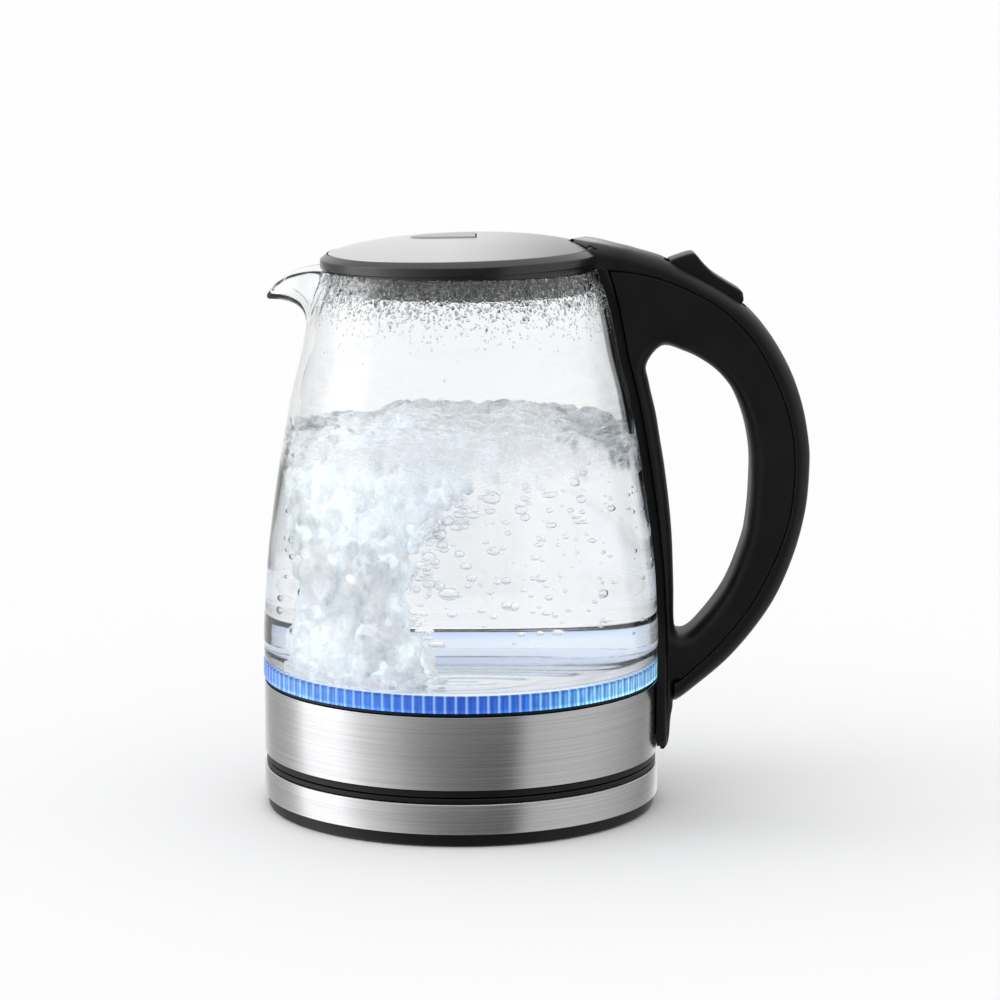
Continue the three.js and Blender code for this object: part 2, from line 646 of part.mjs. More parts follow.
function tripLever() {
  const side = outline([[83.5, 201.4], [96.5, 201.4], [97.4, 202], [97.4, 203.2], [83.5, 203.2]]);
  const arm = slabY(side, 3.2);
  return union(arm, rodY(2.2, LEVER_X, LEVER_Z, -3.2, 3.2), rodY(0.95, LEVER_X, LEVER_Z, -5.4, 5.4, 16));
}

function rocker() {
  const body = slabY(outline([
    [83, 220.6], [83.3, 221.8], [92, 224], [94.1, 223.2], [97.4, 219.3], [101.1, 215.8], [106.4, 212.4],
    [111.6, 209.3], [112.6, 208.4], [112.8, 204.6], [110.4, 203.8], [106.8, 205.4], [105, 204.6],
    [100.4, 204.6], [98.6, 204], [95.4, 204], [95, 207], [86, 211.5], [83.2, 216],
  ]), ROCKER_HALF, 0.6);
  return body.subtract(rodY(1.35, ROCKER_X, ROCKER_Z, -9, 9, 16));
}

class WirePath extends THREE.CatmullRomCurve3 {
  constructor(y) {
    const down = GLASS_OUTSIDE.slice(2, 9).reverse().map(([r, z]) => [r + STRIP_T + 1.6, z]);
    const points = [
      [80, 193.4], [75, 192.9], [70, 190.4], ...down, [84.1, 58], [84.1, 52], [83, 46], [78, 43.5],
      [70, 42], [60, 38], [45, 35.6], [21.4, 35.4],
    ];
    super(points.map(([x, z]) => new THREE.Vector3(x, y, z)), false, 'centripetal');
  }
}

addPart('steam_switch', steamSwitch(), 'switchPlastic');
addPart('steam_bimetal_disc', rodX(6, 0, 203.4, 79.2, 79.8, 20), 'springSteel');
addPart('trip_lever', tripLever(), 'switchPlastic');
addPart('rocker', rocker(), 'blackPlastic');
addPart('rocker_pin', rodY(1.15, ROCKER_X, ROCKER_Z, -12.8, 12.8, 16), 'springSteel');
[-2.6, 2.6].forEach((y, i) => {
  addPart(`switch_wire_${i + 1}`, roundTube(new WirePath(y), 0.7, 24, 6), 'wire');
});

// ---------------------------------------------------------------- lid

function domeHeight(radius) {
  return COLLAR_TOP + LID_RISE * (1 - (radius / LID_R) ** 3);
}

function tabPlan(margin) {
  const shape = new THREE.Shape();
  const edge = TAB_EDGE_X + margin;
  const half = TAB_HALF + margin;
  const reach = edge - TAB_TIP_X + margin;
  shape.moveTo(edge, -half);
  shape.lineTo(edge, half);
  shape.absellipse(edge, 0, reach, half, Math.PI / 2, 1.5 * Math.PI, false, 0);
  return shape;
}

function lidDisc() {
  const radii = [0, 20, 31, 40, 47, LID_R];
  const top = radii.map((r) => [r, domeHeight(r)]);
  const bottom = radii.slice(0, -1).map((r) => [r, domeHeight(r) - LID_SHEET]).reverse();
  const hem = [[LID_R, 224.2], [LID_R - LID_SHEET, 224.2], [LID_R - LID_SHEET, domeHeight(LID_R) - 0.7]];
  const sheet = lean(lathe([...top, ...hem, ...bottom]));
  return sheet.subtract(slabZ(tabPlan(0.5), 220, 240))
    .subtract(slabZ(nosePlan(0.6), 215, 240))
    .subtract(rodY(2.2, HINGE_X, HINGE_Z, -16, 16, 12));
}

function lidShell() {
  const bowl = lathe([
    [0, 219.5], [46.5, 219.5], [46.5, 213.5], [48.3, 213.5], [48.3, 219.5], [51.6, 219.5], [51.6, 222.9],
    [49.8, 222.9], [49.8, 221], [0, 221],
  ]);
  const bosses = LID_SCREWS.map(([x, y]) => rodZ(3.4, x, y, 215.8, 220));
  const tabPosts = [-1, 1].map((side) => {
    const [low, high] = side > 0 ? [7, 9] : [-9, -7];
    return box(TAB_PIVOT_X - 2.2, TAB_PIVOT_X + 2.2, low, high, 220.5, TAB_PIVOT_Z + 1.5)
      .subtract(rodY(1.3, TAB_PIVOT_X, TAB_PIVOT_Z, low - 1, high + 1, 12));
  });
  const boltWindow = box(-55, -48, -4.4, 4.4, 221, 224);
  const notch = slabZ(nosePlan(0.6), 217.9, 240)
    .add(rodY(NOSE_SWING_R + 0.4, HINGE_X, HINGE_Z, -NOSE_HALF - 0.6, NOSE_HALF + 0.6, 36));
  const holes = LID_SCREWS.map(([x, y]) => rodZ(SCREW_HOLE_R, x, y, 215, 219.8, 8));
  return union(bowl, ...bosses, ...tabPosts)
    .subtract(boltWindow)
    .subtract(notch)
    .subtract(union(...holes))
    .add(hingeArms())
    .subtract(rodY(1.2, HINGE_X, HINGE_Z, -20, 20, 16));
}

// Two arms that rise out of the shell to barrels round the hinge pin.
function hingeArms() {
  const arms = [-1, 1].map((side) => {
    const [low, high] = side > 0 ? [11.8, 15.4] : [-15.4, -11.8];
    const arm = slabY(outline([
      [42.5, 219.6], [46.4, 219.6], [49.2, 222.4], [52, 224.8], [51, 226.6], [49.8, 225.8], [48.6, 223.8],
      [42.5, 221.4],
    ]), high, 0, low);
    return arm.add(rodY(1.75, HINGE_X, HINGE_Z, low, high));
  });
  return union(...arms);
}

const LID_SCREWS = [90, 210, 330].map((degrees) => polar(30, degrees));
const TAB_PIVOT_X = 3;
const TAB_PIVOT_Z = 225.2;

function lidInnerCover() {
  const holes = LID_SCREWS.map(([x, y]) => rodZ(SCREW_HOLE_R, x, y, 212, 217, 8));
  return rodZ(46.1, 0, 0, 213.7, 215.5, ROUND).subtract(union(...holes));
}

function lidTab() {
  const cap = slabZ(tabPlan(0), 228.2, TAB_TOP, 6);
  const rim = slabZ(tabPlan(-1.6), 227, TAB_TOP - 2);
  const pivot = rodY(2, TAB_PIVOT_X, TAB_PIVOT_Z, -6.6, 6.6, 16)
    .add(rodY(1, TAB_PIVOT_X, TAB_PIVOT_Z, -9, 9));
  const web = box(TAB_PIVOT_X - 1.8, TAB_PIVOT_X + 1.8, -6.6, 6.6, TAB_PIVOT_Z, 228.6);
  const leg = box(-15.2, -13, -1.7, 1.7, 223.1, 228.6);
  return union(cap.intersect(lean(rodZ(60, 0, 0, 225.5, TAB_TOP, 24))), rim, pivot, web, leg);
}

function latchBolt() {
  return box(-53, -9.5, -3.9, 3.9, 221.3, 222.6).subtract(box(-18, -11.4, -2.2, 2.2, 220, 225));
}

function tabSpring() {
  return slabY(outline([
    [-1, 221.3], [10, 221.3], [10, 221.7], [-0.8, 221.7], [-7.4, 225.4], [-9.2, 225.4], [-9.2, 225],
    [-7.5, 225],
  ]), 2.4);
}

addPart('lid_disc', lidDisc(), 'brushedSteel');
addPart('lid_shell', lidShell(), 'blackPlastic');
addPart('lid_inner_cover', lidInnerCover(), 'blackPlastic');
addPart('lid_seal', lathe([[48.6, 215.2], [49.9, 216.4], [48.6, 217.6]]), 'silicone');
LID_SCREWS.forEach(([x, y], i) => addPart(`lid_screw_${i + 1}`, screwZ(x, y, 212.2, 219.2), 'springSteel'));
addPart('lid_hinge_pin', rodY(0.95, HINGE_X, HINGE_Z, -16.6, 16.6, 16), 'springSteel');
addPart('lid_tab', lidTab(), 'greyPlastic');
addPart('tab_spring', tabSpring(), 'springSteel');
addPart('latch_bolt', latchBolt(), 'blackPlastic');

export default kettle;
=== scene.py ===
"""Electric kettle: the looks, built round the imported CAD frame.

Outlines are in millimetres, +Z up, with the handle along +X and the spout along -X, as in the CAD.
Every mesh is turned to metres as it is made.
"""
import json
import math
import random

import bmesh
import bpy
import numpy as np
from mathutils import Matrix, Vector
from mathutils.geometry import delaunay_2d_cdt


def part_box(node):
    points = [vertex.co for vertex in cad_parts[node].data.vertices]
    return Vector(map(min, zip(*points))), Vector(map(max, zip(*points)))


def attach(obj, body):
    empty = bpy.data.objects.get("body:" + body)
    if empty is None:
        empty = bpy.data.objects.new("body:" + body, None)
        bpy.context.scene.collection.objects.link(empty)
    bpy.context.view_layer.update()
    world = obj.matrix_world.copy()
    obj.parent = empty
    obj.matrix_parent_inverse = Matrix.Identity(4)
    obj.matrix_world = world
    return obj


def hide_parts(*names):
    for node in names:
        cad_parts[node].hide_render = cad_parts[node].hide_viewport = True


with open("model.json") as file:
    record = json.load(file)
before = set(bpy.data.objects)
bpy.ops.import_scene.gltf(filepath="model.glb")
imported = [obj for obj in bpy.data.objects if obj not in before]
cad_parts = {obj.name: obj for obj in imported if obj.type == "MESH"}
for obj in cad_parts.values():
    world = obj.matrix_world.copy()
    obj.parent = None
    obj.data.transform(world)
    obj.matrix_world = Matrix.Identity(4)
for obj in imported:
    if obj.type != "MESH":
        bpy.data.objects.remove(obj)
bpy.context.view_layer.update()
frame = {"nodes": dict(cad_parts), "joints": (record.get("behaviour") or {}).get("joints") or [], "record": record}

MM = 0.001
TURN = 2 * math.pi
scene = bpy.context.scene


def node_box(node):
    """Lowest and highest corner of a CAD node, in millimetres."""
    low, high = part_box(node)
    return low / MM, high / MM


def heights(node):
    """Lowest and highest point of a CAD node, in millimetres."""
    return [corner.z for corner in node_box(node)]


def joint_place(name):
    """The x and z of a joint's axis, in millimetres."""
    joint = next(joint for joint in frame["joints"] if joint["name"] == name)
    return joint["pos_m"][0] / MM, joint["pos_m"][2] / MM


# ---- driving dimensions, those from the frame first

BODY_R = node_box("base_steel_band")[1].x
PAN_R = node_box("base_pan")[1].x
BAND_BOTTOM, BAND_TOP = heights("base_steel_band")
BASE_COVER_TOP = heights("base_top_cover")[1]
SKIRT_BOTTOM, SKIRT_TOP = heights("steel_skirt")
LIGHT_BOTTOM, LIGHT_TOP = heights("light_ring")
PLATE_TOP = heights("heater_plate")[1]
RIM_Z = heights("glass_jug")[1]
HANDLE_HALF = node_box("handle_grip")[1].y
STRIP_BOTTOM, STRIP_TOP = heights("handle_strip")
ROCKER_HALF = node_box("rocker")[1].y
TAB_LOW, TAB_HIGH = node_box("lid_tab")
TAB_TOP = TAB_HIGH.z
HINGE_X, HINGE_Z = joint_place("lid_open")
ROCKER_X, ROCKER_Z = joint_place("rocker_switch")
TAB_PIVOT_X, TAB_PIVOT_Z = joint_place("tab_press")

GAP = 0.3                 # room between pieces that touch
GLASS_WALL = 3.0
GLASS_EDGE = 2.5
GLASS_NECK_R = 75.4       # the glass inside the light ring
GLASS_FOOT_Z = 61.0       # the outside is the body's below this, and the glass's above it
CORD_Z = 10.0             # the hole that the cord's gland sits in
CORD_HOLE_R = 5.8
RIBS = 240                # round the light ring
RIM_R = 55.9
COLLAR_R = 56.1
COLLAR_BORE_R = 53.4
COLLAR_BOTTOM = 218.4
COLLAR_EDGE = 222.9
COLLAR_TOP = 225.1
INNER_SKIRT_BOTTOM = 209.0
LID_SLOPE = 0.025         # the lid and its ring rise towards the handle
LID_R = 52.9
LID_RISE = 5.5
LID_SHEET = 0.8
NOSE_X = 43.7             # the nose's front edge
NOSE_SHOULDER_X = 50.6    # where it has its full width
NOSE_HALF = 15.5
NOSE_EDGE_HALF = 0.8
NOSE_ROOM = 0.6           # between the nose and the lid
NOSE_SWING_R = 8.5        # the nose's underside is round the hinge
HINGE_ARM_Y = (11.8, 14.7)
HINGE_PIN_R = 1.1
ROCKER_PIN_R = 1.2
STRIP_T = 3.8
STRIP_HALF = 11.5
GRIP_GAP = 3.2            # between the grip and the body
WATER_Z = 154.0           # mean height of the boiling water
WATER_LAP = 0.2           # how far the water reaches into the glass, so that no air shows between
WATER_IOR = 1.333
AIR_IOR = 0.86            # air in water is 0.75, but its outlines look too hard
DROPS_TOP = 217.5
DROPS = 7000
BUBBLES = 420
FROTH_BALLS = 2000

# Outlines that the object shows: radius, height.
GLASS_OUTSIDE = [
    (80, 62), (80, 72), (79.5, 81), (78.5, 98), (75.8, 121), (72.3, 144), (68.1, 166.6),
    (63.9, 183.6), (61.4, 197), (59.2, 207), (RIM_R, RIM_Z),
]
# Handle outlines in the plane y = 0: x, z.
HANDLE_OUTSIDE = [
    (44, 229.4), (50, 229.3), (56, 228.5), (62, 227.1), (70, 225.3), (83, 221.2), (100, 212.2), (113, 203.6),
    (122.5, 193.4), (131.2, 179), (136.8, 164), (139.7, 149), (140.2, 138), (138.8, 120.6), (133.8, 101),
    (124.7, 81), (109.5, 61.3), (92.5, 46.4), (86.2, 42),
]
SEAM = [
    (55.6, 218.1), (68, 216.8), (81, 213.6), (94, 208), (106, 200.4), (117, 188.8), (126.2, 172),
    (131.8, 155), (133.4, 138), (131.6, 119), (126, 101.4), (116.3, 82.6), (103, 66), (88.6, 52.4),
]
FINGER_HOLE = [
    (80.5, 187.2), (89.3, 185), (96.5, 181.5), (103.7, 176), (109.6, 168), (114.1, 156.3), (116.3, 144),
    (116.4, 132), (115.6, 119), (113.4, 107), (106.2, 88.8), (94.5, 73.4), (88.6, 70.2), (86.2, 74),
    (85.8, 90), (85, 110), (83.6, 125), (81.6, 140), (79.9, 150), (78.2, 160), (75.3, 172.5), (74.4, 180),
]

# ---- outlines


def spline(points, spacing=1.5, closed=False):
    """Even points along a Catmull-Rom curve through the given ones."""
    p = np.array(points, float)
    if closed:
        p = np.vstack([p[-1], p, p[0], p[1]])
    else:
        p = np.vstack([2 * p[0] - p[1], p, 2 * p[-1] - p[-2]])
    t = np.linspace(0, 1, 16, endpoint=False)[:, None]
    spans = []
    for a, b, c, d in zip(p, p[1:], p[2:], p[3:]):
        spans.append(0.5 * (2 * b + (c - a) * t + (2 * a - 5 * b + 4 * c - d) * t**2
                            + (3 * b - a - 3 * c + d) * t**3))
    dense = np.vstack([*spans, p[-2][None]])
    return even(dense, spacing)[:-1] if closed else even(dense, spacing)


def even(points, spacing):
    """The same line, with its points evenly spaced."""
    p = np.array(points, float)
    along = np.r_[0, np.cumsum(np.linalg.norm(np.diff(p, axis=0), axis=1))]
    count = max(2, round(along[-1] / spacing) + 1)
    at = np.linspace(0, along[-1], count)
    return np.column_stack([np.interp(at, along, p[:, i]) for i in range(p.shape[1])])


def rounded(points, radius=0.3, steps=3):
    """A closed outline with rounded corners. A point may carry its own radius."""
    out = []
    n = len(points)
    for i, point in enumerate(points):
        here = np.array(point[:2], float)
        reach = point[2] if len(point) > 2 else radius
        before = np.array(points[i - 1][:2], float) - here
        after = np.array(points[(i + 1) % n][:2], float) - here
        if reach == 0 or here[0] == 0:
            out.append(tuple(here))
            continue
        a = here + before * min(reach / np.linalg.norm(before), 0.45)
        b = here + after * min(reach / np.linalg.norm(after), 0.45)
        for t in np.linspace(0, 1, steps + 1):
            out.append(tuple((1 - t) ** 2 * a + 2 * t * (1 - t) * here + t * t * b))
    return out


def offset_line(points, distance):
    """Moves an open line sideways, to the left of its direction of travel."""
    p = np.array(points, float)
    along = np.gradient(p, axis=0)
    along /= np.linalg.norm(along, axis=1)[:, None]
    return p + distance * np.column_stack([-along[:, 1], along[:, 0]])


def loop_normals(loop):
    """Sideways unit vectors at the points of a closed loop."""
    ahead = np.roll(loop, -1, axis=0) - np.roll(loop, 1, axis=0)
    return np.column_stack([-ahead[:, 1], ahead[:, 0]]) / np.linalg.norm(ahead, axis=1)[:, None]


def polar(radius, angle, z):
    return radius * math.cos(angle), radius * math.sin(angle), z


def both_sides(inner, outer):
    """The y ranges from inner to outer on each side of the middle plane."""
    return (-outer, -inner), (inner, outer)


glass_line = spline(GLASS_OUTSIDE, 1.0)


def glass_radius(z):
    """Outer radius of the glass at a height, and of the body below it."""
    return np.interp(z, glass_line[:, 1], glass_line[:, 0])


# ---- meshes


def add_object(name, data):
    piece = bpy.data.objects.new(name, data)
    scene.collection.objects.link(piece)
    return piece


def make(name, verts, faces):
    """A mesh object from points in millimetres, with its doubles merged and its faces turned outwards."""
    mesh = bpy.data.meshes.new(name)
    mesh.from_pydata((np.array(verts, float) * MM).tolist(), [], [tuple(f) for f in faces])
    work = bmesh.new()
    work.from_mesh(mesh)
    bmesh.ops.remove_doubles(work, verts=work.verts, dist=2e-7)
    bmesh.ops.dissolve_degenerate(work, edges=work.edges, dist=1e-7)
    bmesh.ops.recalc_face_normals(work, faces=work.faces)
    work.to_mesh(mesh)
    work.free()
    return add_object(name, mesh)


def skin(name, loops, ends="open"):
    """A mesh through loops of equally many points. Its ends are open, capped, or joined to each other."""
    loops = np.array(loops, float)
    count = loops.shape[1]
    faces = []
    for j in range(len(loops) - (ends != "joined")):
        k = (j + 1) % len(loops)
        for i in range(count):
            m = (i + 1) % count
            faces.append((j * count + i, j * count + m, k * count + m, k * count + i))
    if ends == "capped":
        last = (len(loops) - 1) * count
        faces += [tuple(range(count)), tuple(range(last, last + count))]
    return make(name, loops.reshape(-1, 3), faces)


def finish_piece(piece, body, slot, node=None, material=None, sharp=38):
    """Puts a piece on its body with its material, the slot's own unless one is given, and hides the CAD node that
    it stands for.
    """
    piece.data.materials.clear()
    piece.data.materials.append(material or SLOT_LOOKS[slot])
    piece.data.shade_smooth()
    piece.data.set_sharp_from_angle(angle=math.radians(sharp))
    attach(piece, body)
    if node:
        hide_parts(node)


def apply_modifiers(piece):
    """Bakes a piece's modifiers into its mesh."""
    view = bpy.context.evaluated_depsgraph_get()
    mesh = bpy.data.meshes.new_from_object(piece.evaluated_get(view))
    piece.modifiers.clear()
    piece.data = mesh
    return piece


def combine(piece, tool, operation="DIFFERENCE"):
    """Cuts a tool out of a piece, or adds it, and removes the tool."""
    change = piece.modifiers.new("combine", "BOOLEAN")
    change.operation = operation
    change.solver = "EXACT"
    change.object = tool
    apply_modifiers(piece)
    bpy.data.objects.remove(tool)
    return piece


def join(piece, *others):
    """Adds the meshes of other objects to a piece as they are."""
    work = bmesh.new()
    for each in (piece, *others):
        work.from_mesh(each.data)
    work.to_mesh(piece.data)
    work.free()
    for each in others:
        bpy.data.objects.remove(each)
    return piece


def lean(piece):
    """Leans a piece so that it rises towards the handle, as the lid does."""
    piece.data.transform(Matrix(((1, 0, 0, 0), (0, 1, 0, 0), (LID_SLOPE, 0, 1, 0), (0, 0, 0, 1))))
    return piece


def revolve(name, profile, steps=160, shift=None):
    """A closed outline of radius, height turned round Z. shift(angle, radius, z) may change a radius."""
    angles = [TURN * i / steps for i in range(steps)]
    loops = [[polar(shift(a, r, z) if shift else r, a, z) for r, z in profile] for a in angles]
    return skin(name, loops, "joined")


def slab(name, outline, low, high, axis="Y"):
    """A flat-sided slab of a closed outline, between two planes: x, z outlines along Y, x, y ones along Z."""
    n = len(outline)
    place = (lambda a, b, t: (a, t, b)) if axis == "Y" else (lambda a, b, t: (a, b, t))
    verts = [place(a, b, low) for a, b in outline] + [place(a, b, high) for a, b in outline]
    faces = [(i, (i + 1) % n, n + (i + 1) % n, n + i) for i in range(n)]
    return make(name, verts, [*faces, tuple(range(n)), tuple(range(n, 2 * n))])


def circle(x, y, radius, steps=32):
    angles = [TURN * i / steps for i in range(steps)]
    return [(x + radius * math.cos(angle), y + radius * math.sin(angle)) for angle in angles]


def rod_y(radius, x, z, low, high, steps=40):
    return slab("rod", circle(x, z, radius, steps), low, high)


def rod_z(radius, x, y, low, high, steps=40):
    return slab("rod", circle(x, y, radius, steps), low, high, "Z")


def block(x0, x1, y0, y1, z0, z1):
    return slab("block", [(x0, z0), (x1, z0), (x1, z1), (x0, z1)], y0, y1)


# ---- crowned slabs, for the handle

RING_STEPS = np.array([0.12, 0.3, 0.55, 0.95, 1.5, 2.2, 3.1, 4.2, 5.6])


def line_distance(points, line):
    """Distance from each point to a polyline."""
    a, b = line[:-1], line[1:]
    ab = b - a
    length = np.maximum((ab**2).sum(1), 1e-12)
    best = np.full(len(points), 1e9)
    for start, step, size in zip(a, ab, length):
        t = np.clip(((points - start) @ step) / size, 0, 1)
        best = np.minimum(best, np.linalg.norm(points - start - t[:, None] * step, axis=1))
    return best


def inside(points, loop):
    """Which points lie inside a closed loop."""
    x, z = points[:, 0], points[:, 1]
    found = np.zeros(len(points), bool)
    for (x0, z0), (x1, z1) in zip(loop, np.roll(loop, -1, axis=0)):
        if z0 == z1:
            continue
        found ^= ((z0 > z) != (z1 > z)) & (x < (x1 - x0) * (z - z0) / (z1 - z0) + x0)
    return found


def crowned_slab(name, outline, holes, rims, half, cell=3.0):
    """A slab in the x, z plane whose sides at y = -+half roll over towards its rims.

    A rim is a line with the reach of its rounding in the plane and its drop across it. half is the half
    thickness away from every rim. It and a drop may be functions of the points.
    """
    loops = [outline, *holes]
    closed = [np.vstack([loop, loop[:1]]) for loop in loops]

    def solid(points):
        found = inside(points, outline)
        for hole in holes:
            found &= ~inside(points, hole)
        return found

    rings = []
    for loop in loops:
        normal = loop_normals(loop)
        for step in RING_STEPS:
            for side in (-1, 1):
                moved = loop + side * step * normal
                moved = moved[solid(moved)]
                away = np.min([line_distance(moved, each) for each in closed], axis=0)
                rings.append(moved[away > 0.96 * step])
    low, high = outline.min(0), outline.max(0)
    rows = np.arange(low[1], high[1], cell * 0.866)
    columns = np.arange(low[0], high[0], cell)
    grid = np.array([(x + (i % 2) * cell / 2, z) for i, z in enumerate(rows) for x in columns])
    grid = grid[solid(grid)]
    away = np.min([line_distance(grid, each) for each in closed], axis=0)
    grid = grid[away > RING_STEPS[-1] + cell * 0.6]
    points = np.vstack([*loops, *rings, grid])
    edges = []
    start = 0
    for loop in loops:
        edges += [(start + i, start + (i + 1) % len(loop)) for i in range(len(loop))]
        start += len(loop)
    flat, _, triangles, origin, _, _ = delaunay_2d_cdt([Vector(p) for p in points], edges, [], 0, 1e-5)
    flat = np.array([tuple(p) for p in flat])
    triangles = np.array([t for t in triangles if len(t) == 3])
    triangles = triangles[solid(flat[triangles].mean(1))]
    thick = half(flat) if callable(half) else np.full(len(flat), half)
    height = thick.copy()
    for line, reach, drop in rims:
        if callable(drop):
            drop = drop(flat)
        share = 1 - np.minimum(line_distance(flat, line) / reach, 1)
        height = np.minimum(height, thick - drop * (1 - np.sqrt(np.maximum(1 - share**2, 0))))
    n = len(flat)
    front = np.column_stack([flat[:, 0], -height, flat[:, 1]])
    back = np.column_stack([flat[:, 0], height, flat[:, 1]])
    faces = [*triangles.tolist(), *(triangles[:, ::-1] + n).tolist()]
    seen = {}
    for a, b, c in triangles.tolist():
        for edge in ((a, b), (b, c), (c, a)):
            key = (min(edge), max(edge))
            seen[key] = seen.get(key, 0) + 1
    faces += [(a, b, b + n, a + n) for (a, b), count in seen.items() if count == 1]
    return make(name, np.vstack([front, back]), faces)


# ---- materials


class Graph:
    """Short calls that add nodes to a node tree."""

    def __init__(self, tree):
        self.tree = tree

    def add(self, kind, inputs=None, **settings):
        node = self.tree.nodes.new("ShaderNode" + kind)
        for key, value in settings.items():
            setattr(node, key, value)
        for key, value in (inputs or {}).items():
            if isinstance(value, bpy.types.NodeSocket):
                self.tree.links.new(value, node.inputs[key])
            else:
                node.inputs[key].default_value = value
        return node

    def math(self, operation, a, b=0.0):
        return self.add("Math", {0: a, 1: b}, operation=operation).outputs[0]

    def times(self, a, b):
        return self.math("MULTIPLY", a, b)

    def scaled(self, vector, amount):
        return self.add("VectorMath", {0: vector, "Scale": amount}, operation="SCALE").outputs["Vector"]

    def axes(self, vector):
        parts = self.add("SeparateXYZ", {"Vector": vector})
        return [parts.outputs[axis] for axis in "XYZ"]

    def bearing(self, x, y):
        """Angle round Z from the camera's side, positive towards the handle."""
        return self.math("ARCTAN2", x, self.times(y, -1.0))

    def spread(self, value, low, high, start=0.0, end=1.0):
        """A value from low to high, carried to start to end."""
        inputs = {"Value": value, "From Min": low, "From Max": high, "To Min": start, "To Max": end}
        return self.add("MapRange", inputs).outputs["Result"]

    def ramp(self, value, stops, smooth=False):
        """A colour ramp. A stop is a place from 0 to 1 and a grey value or a colour."""
        node = self.add("ValToRGB", {"Fac": value})
        node.color_ramp.interpolation = "EASE" if smooth else "LINEAR"
        elements = node.color_ramp.elements
        while len(elements) < len(stops):
            elements.new(1)
        for element, (place, colour) in zip(elements, stops):
            element.position = place
            element.color = (*colour, 1) if isinstance(colour, tuple) else (colour, colour, colour, 1)
        return node.outputs["Color"]

    def mix(self, share, a, b):
        """From a to b, which are sockets or colours."""
        a, b = ((*end, 1) if isinstance(end, tuple) else end for end in (a, b))
        return self.add("Mix", {0: share, 6: a, 7: b}, data_type="RGBA").outputs[2]


class Look(Graph):
    """A material with one Principled shader."""

    def __init__(self, name, colour, **values):
        self.material = bpy.data.materials.new(name)
        self.material.use_nodes = True
        super().__init__(self.material.node_tree)
        self.shader = self.tree.nodes["Principled BSDF"]
        self.shader.inputs["Base Color"].default_value = (*colour, 1)
        for key, value in values.items():
            self.shader.inputs[key.replace("_", " ")].default_value = value

    def link(self, socket, name):
        self.tree.links.new(socket, self.shader.inputs[name])

    def where(self, stretch=(1, 1, 1)):
        """Object coordinates, stretched along each axis."""
        place = self.add("TexCoord").outputs["Object"]
        return self.add("Mapping", {"Vector": place, "Scale": stretch}).outputs["Vector"]

    def noise(self, stretch, detail=3.0, roughness=0.5):
        """Noise with a frequency per metre along each axis."""
        if not isinstance(stretch, tuple):
            stretch = (stretch,) * 3
        inputs = {"Vector": self.where(stretch), "Scale": 1.0, "Detail": detail, "Roughness": roughness}
        return self.add("TexNoise", inputs).outputs["Fac"]

    def bump(self, height, distance, strength=1.0):
        inputs = {"Height": height, "Distance": distance, "Strength": strength}
        self.link(self.add("Bump", inputs).outputs["Normal"], "Normal")

    def clear_to_lamps(self, surface=None):
        """Lets light through to what is behind, so that glass throws only a faint shadow."""
        out = self.tree.nodes["Material Output"]
        shadow = self.add("LightPath").outputs["Is Shadow Ray"]
        clear = self.add("BsdfTransparent", {"Color": (0.93, 0.95, 0.96, 1)}).outputs["BSDF"]
        mixed = self.add("MixShader", {0: shadow, 1: surface or self.shader.outputs["BSDF"], 2: clear})
        self.tree.links.new(mixed.outputs[0], out.inputs["Surface"])


def black_moulding(name, low=0.34, high=0.44, tone=0.0042):
    """Satin black plastic with a fine spark-eroded grain."""
    dark = (tone, tone * 1.04, tone * 1.1)
    look = Look(name, dark, Specular_IOR_Level=0.26)
    cloud = look.noise(55.0, 2.0)
    look.link(look.spread(cloud, 0.3, 0.7, low, high), "Roughness")
    pale = (tone * 1.5, tone * 1.5, tone * 1.55)
    look.link(look.mix(look.spread(cloud, 0.3, 0.7), dark, pale), "Base Color")
    look.bump(look.noise(4200.0, 1.0), 0.000012, 0.5)
    return look.material


def collar_moulding():
    """The same plastic, polished on the ring round the lid and satin along the handle."""
    look = Look("black_collar", (0.0042, 0.0045, 0.005), Specular_IOR_Level=0.32)
    place = look.axes(look.where())[0]
    cloud = look.spread(look.noise(55.0, 2.0), 0.3, 0.7, -0.05, 0.05)
    level = look.spread(place, 0.052, 0.066, 0.2, 0.4)
    look.link(look.spread(place, 0.05, 0.062, 0.85, 0.32), "Specular IOR Level")
    look.link(look.math("ADD", level, cloud), "Roughness")
    look.bump(look.noise(4200.0, 1.0), 0.00001, 0.35)
    return look.material


def brushed_steel(name, stretch, tone, roughness, line=0.06):
    """Steel with fine brush lines round Z. The lines run along the axes with a small stretch."""
    look = Look(name, tone, Metallic=1.0, Anisotropic=0.8, Anisotropic_Rotation=0.25)
    look.link(look.add("Tangent", direction_type="RADIAL", axis="Z").outputs["Tangent"], "Tangent")
    fine = look.noise(stretch, 3.0, 0.62)
    cloud = look.noise(28.0, 2.0)
    both = look.math("ADD", look.spread(fine, 0.25, 0.75, -line, line),
                     look.spread(cloud, 0.3, 0.7, -0.02, 0.02))
    dark, pale = (tuple(c * (1 + change) for c in tone) for change in (-0.16, 0.12))
    look.link(look.mix(look.spread(fine, 0.28, 0.72), dark, pale), "Base Color")
    look.link(look.math("ADD", both, roughness), "Roughness")
    look.bump(fine, 0.00002, 0.35)
    return look.material


